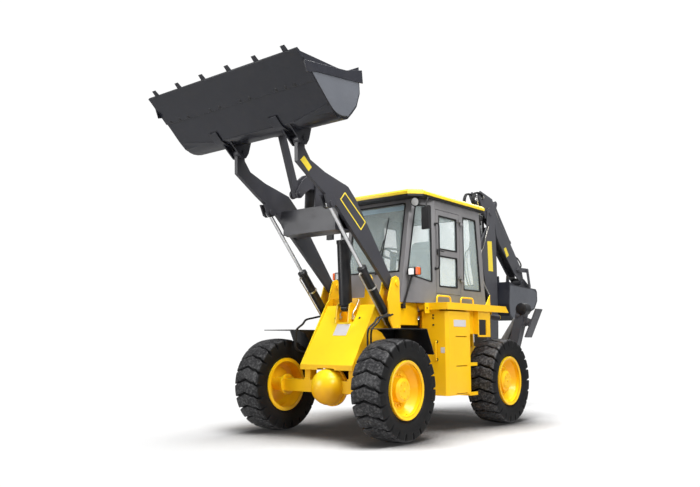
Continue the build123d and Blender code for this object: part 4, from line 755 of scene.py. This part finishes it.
placard = on_slope(corners(-90, 112, 125, 208))
put("front_placard", plate_of(placard, SLOPE_WAY, 0, 2), pale, "front")
pipes = []
for x in (-85, 118):
    route = [(x, 258, 1440), (x, 262, 1490), (x * 0.95, 330, 1560), (x * 0.9, 400, 1668)]
    pipes.append(tube(flow(route, 8), 9))
    pipes.append(plate_of(on_slope(corners(x - 28, 246, x + 28, 272)), SLOPE_WAY, 0, 16))
put("tilt_pipes", pipes, zinc, "front", bevel=2)
screws = [nut(on_slope([(x, 258)])[0], SLOPE_WAY, 14, 10, 4, 9) for x in (-160, 232)]
put("plate_screws", screws, black_paint, "front")

# Pipes along the lift barrels

LIFT_FOOT, LIFT_EYE = np.array([600.0, 1310.0]), np.array([-651.0, 2721.0])
LIFT_X = 490
along = (LIFT_EYE - LIFT_FOOT) / np.linalg.norm(LIFT_EYE - LIFT_FOOT)
above = np.array([along[1], -along[0]])


def by_barrel(x, reach, rise):
    """A place beside a lift barrel: reach along it from its foot, rise out of it."""
    return np.array([x, *(LIFT_FOOT + along * reach + above * rise)])


pipes = []
PIPE_ROUTE = [(915, -58), (918, -88), (890, -96), (700, -88), (300, -86), (120, -90)]
for x in (LIFT_X, -LIFT_X):
    pipes.append(tube(flow([by_barrel(x, reach, rise) for reach, rise in PIPE_ROUTE], 8), 9))
    pipes.append(turned([(-14, 16), (14, 16)], by_barrel(x, 915, -60), (0, *-above), 12))
    for reach in (250, 650):
        strap = [(-10, 62), (10, 62), (10, 56), (-10, 56)]
        pipes.append(turned(strap, by_barrel(x, reach, 0), (0, *along), 32, ring=True))
put("lift_pipes", pipes, zinc, "lift_cylinders")

# Loader bucket: plates over the heel, strips at the ears, bolts, side cutters

HEEL = np.array([
    # y and z along the bucket's outside, from the edge over the heel to the back
    (-1500, 3572), (-1410, 3490), (-1350, 3471), (-1290, 3460), (-1225, 3464), (-1165, 3478), (-1090, 3556),
    (-1020, 3640), (-990, 3720), (-965, 3800),
], float)
heel_way = np.gradient(HEEL, axis=0)
heel_way /= np.linalg.norm(heel_way, axis=1, keepdims=True)
heel_out = np.column_stack([heel_way[:, 1], -heel_way[:, 0]]) * np.sign(heel_way[0, 1]) * -1
BUCKET_SIDE = 1200


def over_heel(x0, x1, first, last, low, high, lean=0.0):
    """A plate lying on the bucket's outside: the heel's line, set out by low and high, carried from x0 to
    x1; its first edge leans along the bucket by lean."""
    line, out = HEEL[first:last], heel_out[first:last]
    section = np.concatenate([line + out * low, (line + out * high)[::-1]])
    slide = np.zeros(len(section))
    slide[[0, -1]] = lean
    ends = []
    for x, part in ((x0, 1.0), (x1, 0.0)):
        y, z = section[:, 0] - slide * part, section[:, 1] + slide * part
        ends.append(np.column_stack([np.full(len(section), x), y, z]))
    return skin(np.stack(ends), around=True)


heel_plates = [over_heel(-1188, -640, 1, 8, -2, 9, 70), over_heel(430, -440, 1, 8, -2, 9),
               over_heel(1188, 640, 1, 8, -2, 9, 70)]
put("bucket_heel_plates", heel_plates, bucket_grey, "bucket", smooth=30)
straps = [over_heel(x - 62, x + 62, 0, 5, -2, 18) for x in (-578, 407)]
put("bucket_ear_straps", straps, bucket_grey, "bucket", smooth=30, bevel=3)
EDGE_OUT = np.array([0, -491.0, -535.0]) / 726      # out of the bucket's floor
EDGE_IN = np.array([0, 535.0, -491.0]) / 726        # along the floor, from the cutting edge inwards
row = np.array([0, -1945.0, 3981.0]) + EDGE_IN * 325 + EDGE_OUT * 2
BOLT_X = (-1091, -925, -772, -380, -220, 123, 272, 675, 806, 945)
bolt_head = [(0, 25), (10, 25), (16, 17), (18, 8)]
bolts = [turned(bolt_head, row + [x, 0, 0], EDGE_OUT, 12) for x in BOLT_X]
put("bucket_bolts", bolts, black_paint, "bucket")
cutter = on_side([(-1870, 3905), (-1821, 3790), (-1679, 3835), (-921, 3925), (-939, 4070), (-1208, 3990)],
                 BUCKET_SIDE)
cutters = both(plate_of(cutter, LEFT, -1, 11))
put("bucket_side_cutters", cutters, bucket_grey, "bucket", bevel=2)
WELD_X = BUCKET_SIDE + 2
weld = flow([(WELD_X, -1880, 3932), (WELD_X, -1660, 3730), (WELD_X, -1430, 3520), (WELD_X, -1300, 3476),
             (WELD_X, -1170, 3492)], 6)
put("bucket_side_weld", both(tube(weld, 7, 8)), black_paint, "bucket")
cheek = on_side([(-1850, 3905), (-1412, 3504), (-1292, 3474), (-1172, 3492), (-1034, 3648), (-980, 3802),
                 (-995, 4060), (-1205, 3960)], BUCKET_SIDE)
# Side plates in a lighter, bluer grey than the rest of the bucket: a painted reflection of the pale sky
painted_sheen_grey = paint("painted_sheen_grey", (0.105, 0.112, 0.128), (0.07, 0.076, 0.09),
                   gloss=0.30, coat=0.3, dust=0.08, worn=0.5)
put("bucket_cheeks", both(plate_of(cheek, LEFT, -1, 2)), painted_sheen_grey, "bucket", bevel=1)
edge = [(-1975, 3985), (-1945, 3962), (-1700, 3736), (-1692, 3748), (-1925, 3985), (-1962, 4006)]
edge_plate = prism(edge, -BUCKET_SIDE - 3, BUCKET_SIDE + 3)
put("bucket_edge_plate", edge_plate, bucket_grey, "bucket", bevel=2)

# Side boxes and deck

BOX_FACE = 1168      # the side boxes' front face
handle = np.array([790.0, BOX_FACE, 0])
HANDLE_LOW, HANDLE_HIGH = 905, 1130
handle_route = handle + [(0, 0, HANDLE_HIGH), (0, -26, HANDLE_HIGH - 8), (0, -28, HANDLE_LOW + 8),
                         (0, 0, HANDLE_LOW)]
knobs = [nut(handle + [0, 0, z], -REAR, 20, 8, 2, 12, 16) for z in (HANDLE_LOW - 2, HANDLE_HIGH + 2)]
knobs += [nut((740, BOX_FACE + 2, z), -REAR, 13, 8, 2, 8, 12) for z in (1350, 1440, 1478)]
put("box_labels", both(brick((848, BOX_FACE, 990), (906, BOX_FACE + 3, 1062))), pale, "chassis")
put("box_handles", both(tube(flow(handle_route, 6), 9)), yellow, "chassis", bevel=2)
put("box_knobs", both(*knobs), black_paint, "chassis")
sill = on_side(corners(1040, 1500, 1620, 1638), 690)
put("deck_strips", both(plate_of(sill, LEFT, 0, 10)), yellow, "chassis", bevel=2)
sill_bolts = [nut((700, y, 1570), LEFT, 11, 8, 2, 7) for y in range(1080, 1620, 120)]
put("deck_strip_bolts", both(*sill_bolts), black_paint, "chassis")
blank = on_side(corners(1330, 1330, 1640, 1420), 950)
put("box_plates", both(plate_of(blank, LEFT, -1, 2)), pale, "chassis")
tank_line = [(0, 0.1), (2, 30), (8, 43), (544, 43), (550, 30), (552, 0.1)]
put("air_tanks", both(turned(tank_line, (750, 2404, 1487), REAR, 32)), arm_grey, "chassis")

# Axles: a ring of bolts round the housing ball, and one at each flange

for name, body, y, way in (("front", "front", 0.0, -1), ("rear", "chassis", WHEELBASE, 1)):
    bolts = ring_of_nuts((0, y + way * 17, AXLE_Z), way * REAR, 229, 18, 8, 8, 2, 5)
    for side in (1, -1):
        bolts += ring_of_nuts((side * 749, y, AXLE_Z), -side * LEFT, 116, 10, 9, 9, 2, 6)
    put(name + "_axle_bolts", bolts, yellow, body)

# Stabilisers: the leg's hood and the sleeve over each cylinder

hood = turned([(-82, 30), (-82, 84), (-76, 92), (76, 92), (82, 84), (82, 30)], (1000, 3300, 1618), REAR, 40)
foot, eye = np.array([460.0, 3300.0, 850.0]), np.array([943.5, 3300.0, 1534.0])
sleeve_way = (eye - foot) / np.linalg.norm(eye - foot)
sleeve = turned([(96, 50), (100, 57), (690, 57), (694, 62), (746, 62), (750, 50)], foot, sleeve_way, 40)
sleeve_grey = paint("sleeve_grey", (0.20, 0.20, 0.20), (0.06, 0.06, 0.062), gloss=0.4, dust=0.3, worn=0.5)
for word, mirror in (("left", False), ("right", True)):
    put("stabiliser_hood_" + word, moved(hood, mirror=mirror), black_paint, "leg_body_" + word,
        smooth=50)
    put("stabiliser_sleeve_" + word, moved(sleeve, mirror=mirror), sleeve_grey, "leg_cylinder_" + word)
# A black plate across the front frame's opening: painted shade, a dark sheet where the frame's inside lies
# in shade
dark_shade_plate = brick((-190, 130, 640), (190, 142, 900))
put("frame_painted_shade_plate", dark_shade_plate, black_paint, "front")

# Hoses and pipes

HOSE_R = 14
hoses = []
for x, back in ((588, 0), (613, 34)):
    route = [(430, 480 + back, 1085), (500, 430, 1045), (x - 18, 330, 1012), (x, 120 + back, 1000),
             (x, back - 20, 1040), (x, back - 45, 1129), (x, back - 28, 1280), (x, 90 + back, 1361),
             (x, 154 + back, 1418), (x, 294 + back, 1446), (x - 14, 420 + back, 1470)]
    hoses.append(tube(flow(route, 10), 12))
put("tower_hoses", both(*hoses), hose_rubber, "front")
hoses = []
for x in (-260, -225, 225, 260):
    route = [(x, 640, 1000), (x, 850, 900 + abs(x) / 3), (x * 0.8, 1000, 930), (x * 0.7, 1120, 1000)]
    hoses.append(tube(flow(route, 10), HOSE_R))
put("neck_hoses", hoses, hose_rubber, "front")
pipes = []
for x in (-36, -12, 12, 36):
    route = [(x, 4212, 3520), (x, 4275, 3480), (x, 4362, 3352), (x, 4444, 3242), (x, 4700, 3006),
             (x, 4852, 2846)]
    pipes.append(tube(flow(route, 8), 11))
put("dipper_pipes", pipes, zinc, "dipper_body")
hoses = []
for x in (-62, 62):
    route = [(x, 5040, 2630), (x, 5120, 2600), (x * 1.3, 5190, 2500), (x, 5140, 2400),
             (x * 0.9, 5080, 2440)]
    hoses.append(tube(flow(route, 10), 13))
put("dipper_hoses", hoses, hose_rubber, "dipper_body")
CROWD_X = (-98, -68, 68, 98)
hoses = []
for x in CROWD_X:
    route = [(x, 3800, 3540), (x, 3720, 3585), (x, 3560, 3575), (x, 3480, 3450), (x, 3560, 3300),
             (x * 0.8, 3720, 3060)]
    hoses.append(tube(flow(route, 12), HOSE_R))
put("crowd_hoses", hoses, hose_rubber, "boom_body")
hoses = []
for x in (128, -128):
    route = [(x, 3890, 3075), (x, 3790, 2900), (x, 3680, 2678), (x, 3575, 2600), (x, 3530, 2470),
             (x, 3524, 2338), (x, 3590, 2128), (x, 3720, 1960), (x, 3870, 1850)]
    hoses.append(tube(flow(route, 8), 12))
put("boom_hoses", hoses, hose_rubber, "boom_body")
pipes = []
for x in (126, -126):
    route = [(x, 3905, 3050), (x, 3800, 2860), (x, 3712, 2690), (x, 3640, 2600), (x, 3600, 2440),
             (x, 3640, 2200), (x, 3740, 2030), (x, 3880, 1900)]
    pipes.append(tube(flow(route, 8), 10))
put("boom_pipes", pipes, zinc, "boom_body")
# The hoe bucket's sides take the same lighter grey: a painted reflection of the pale sky
hoe_side = on_side([(4280, 2070), (4235, 1760), (4255, 1585), (4345, 1512), (4555, 1530), (5185, 1722),
                    (5300, 1860), (5300, 2000), (5150, 2045), (4440, 2070)], 310)
hoe_sides = both(plate_of(hoe_side, LEFT, -1, 2))
put("hoe_bucket_sides", hoe_sides, painted_sheen_grey, "hoe_bucket_body", bevel=1)
fitting = [(-16, 20), (-8, 24), (8, 24), (16, 20)]
fittings = [turned(fitting, (x, 3800, 3540), (0, 1, -0.5), 6) for x in CROWD_X]
fittings += [turned(fitting, (x, 3570, 3290), (0, -0.5, 1), 6) for x in (-68, 68)]
put("hose_fittings", fittings, zinc, "boom_body")

# Floor, light and camera

FLOOR_R = 60.0         # metres
FLOOR_SINK = 0.0005    # the floor lies this far under the wheels, in metres
WHITE = (1, 1, 1, 1)
DIM = (0.50, 0.50, 0.50, 1)


def floor_finish():
    """A pale matt floor with a painted shadow, dark where little of the sky reaches it, that turns plain
    white far out; rays that don't come from the camera meet a dim grey."""
    finish = Finish("pale_floor", Roughness=0.8, Specular_IOR_Level=0.1)
    grain = finish.noise(30.0, 2)
    pale_now = finish.mix(grain * 0.3, (0.76, 0.76, 0.76), (0.75, 0.75, 0.75))
    # Painted shadow: ambient occlusion darkens the floor's colour near and under the machine
    sky_reach = finish.node("AmbientOcclusion", {"samples": 8}, {"Distance": 1.7}, out="AO")
    finish.feed(Base_Color=finish.mix(sky_reach.over(0.50, 0.98), (0.03, 0.028, 0.027), pale_now))
    lit = Value(finish, finish.shader.outputs[0])
    seen = finish.node("LightPath", out="Is Camera Ray")
    clear = finish.node("LightPath", out="Is Transmission Ray")
    glow = finish.node("Emission", {}, {"Color": WHITE, "Strength": 0.02})
    added = finish.node("AddShader", {}, {0: lit, 1: glow})
    scaled = finish.node("VectorMath", {"operation": "MULTIPLY"}, {0: finish.where, 1: (0.42, 0.24, 0)})
    distance = finish.node("VectorMath", {"operation": "LENGTH"}, {0: scaled}, out="Value")
    white = finish.node("Emission", {}, {"Color": WHITE, "Strength": 1.05})
    near = finish.node("MixShader", {}, {0: distance.over(0.74, 1.15), 1: added, 2: white})
    dim = finish.node("BsdfDiffuse", {}, {"Color": DIM})
    shown = finish.node("MixShader", {}, {0: (seen + clear).over(0, 1), 1: dim, 2: near})
    finish.links.new(shown.socket, finish.nodes["Material Output"].inputs[0])
    return finish.material


def lay_floor():
    """A round floor just under the wheels."""
    angle = turns(64)
    disc = np.stack([FLOOR_R * np.cos(angle), FLOOR_R * np.sin(angle), angle * 0 - FLOOR_SINK], -1)
    mesh = bpy.data.meshes.new("floor")
    mesh.from_pydata(disc.tolist(), [], [list(range(len(disc)))])
    floor = bpy.data.objects.new("floor", mesh)
    bpy.context.scene.collection.objects.link(floor)
    mesh.materials.append(floor_finish())


SKY_LIGHT = 0.36    # strength of the sky as a light
SKY_SEEN = 0.66     # added where the camera sees the sky itself


def hang_sky():
    """A white sky, stronger where the camera looks at it, directly or through a pane."""
    world = bpy.data.worlds.new("studio")
    world.use_nodes = True
    bpy.context.scene.world = world
    nodes, links = world.node_tree.nodes, world.node_tree.links
    sky = nodes["Background"]
    sky.inputs["Color"].default_value = WHITE
    rays = nodes.new("ShaderNodeLightPath")
    seen = nodes.new("ShaderNodeMath")
    seen.operation = "MAXIMUM"
    links.new(rays.outputs["Is Camera Ray"], seen.inputs[0])
    links.new(rays.outputs["Is Transmission Ray"], seen.inputs[1])
    strength = nodes.new("ShaderNodeMath")
    strength.operation = "MULTIPLY_ADD"
    links.new(seen.outputs[0], strength.inputs[0])
    strength.inputs[1].default_value = SKY_SEEN
    strength.inputs[2].default_value = SKY_LIGHT
    links.new(strength.outputs[0], sky.inputs["Strength"])


LAMPS = [
    # name, place, aimed at, size, power
    ("top", (2.5, -1.5, 10.0), (0, -0.5, 1.0), 6.0, 1300.0),
    ("key", (9.0, -4.5, 7.0), (0, -0.5, 1.5), 3.5, 620.0),
    ("front_fill", (-4.5, -10.0, 4.0), (0, -1.5, 2.0), 5.0, 380.0),
    ("rear", (-3.0, 9.0, 7.5), (0, 1.0, 1.5), 5.0, 300.0),
]


def stand_lamps():
    """Round area lamps, each turned to look at its aim."""
    for name, spot, aim, size, power in LAMPS:
        lamp = bpy.data.lights.new(name, "AREA")
        lamp.shape, lamp.size, lamp.energy = "DISK", size, power
        stand = bpy.data.objects.new(name, lamp)
        bpy.context.scene.collection.objects.link(stand)
        stand.location = spot
        way = Vector(aim) - Vector(spot)
        stand.rotation_euler = way.to_track_quat("-Z", "Y").to_euler()


lay_floor()
hang_sky()
stand_lamps()

camera = bpy.data.objects.new("camera", bpy.data.cameras.new("camera"))
bpy.context.scene.collection.objects.link(camera)
bpy.context.scene.camera = camera
camera.location = (5.8324, -6.8604 + AXLE_Y, 1.1561)
camera.rotation_euler = (math.radians(90 + 7.6489), 0, math.radians(38.9711))
camera.data.lens, camera.data.sensor_width = 36.92, 36
camera.data.clip_end = 200
bpy.context.scene.view_settings.view_transform = "Standard"
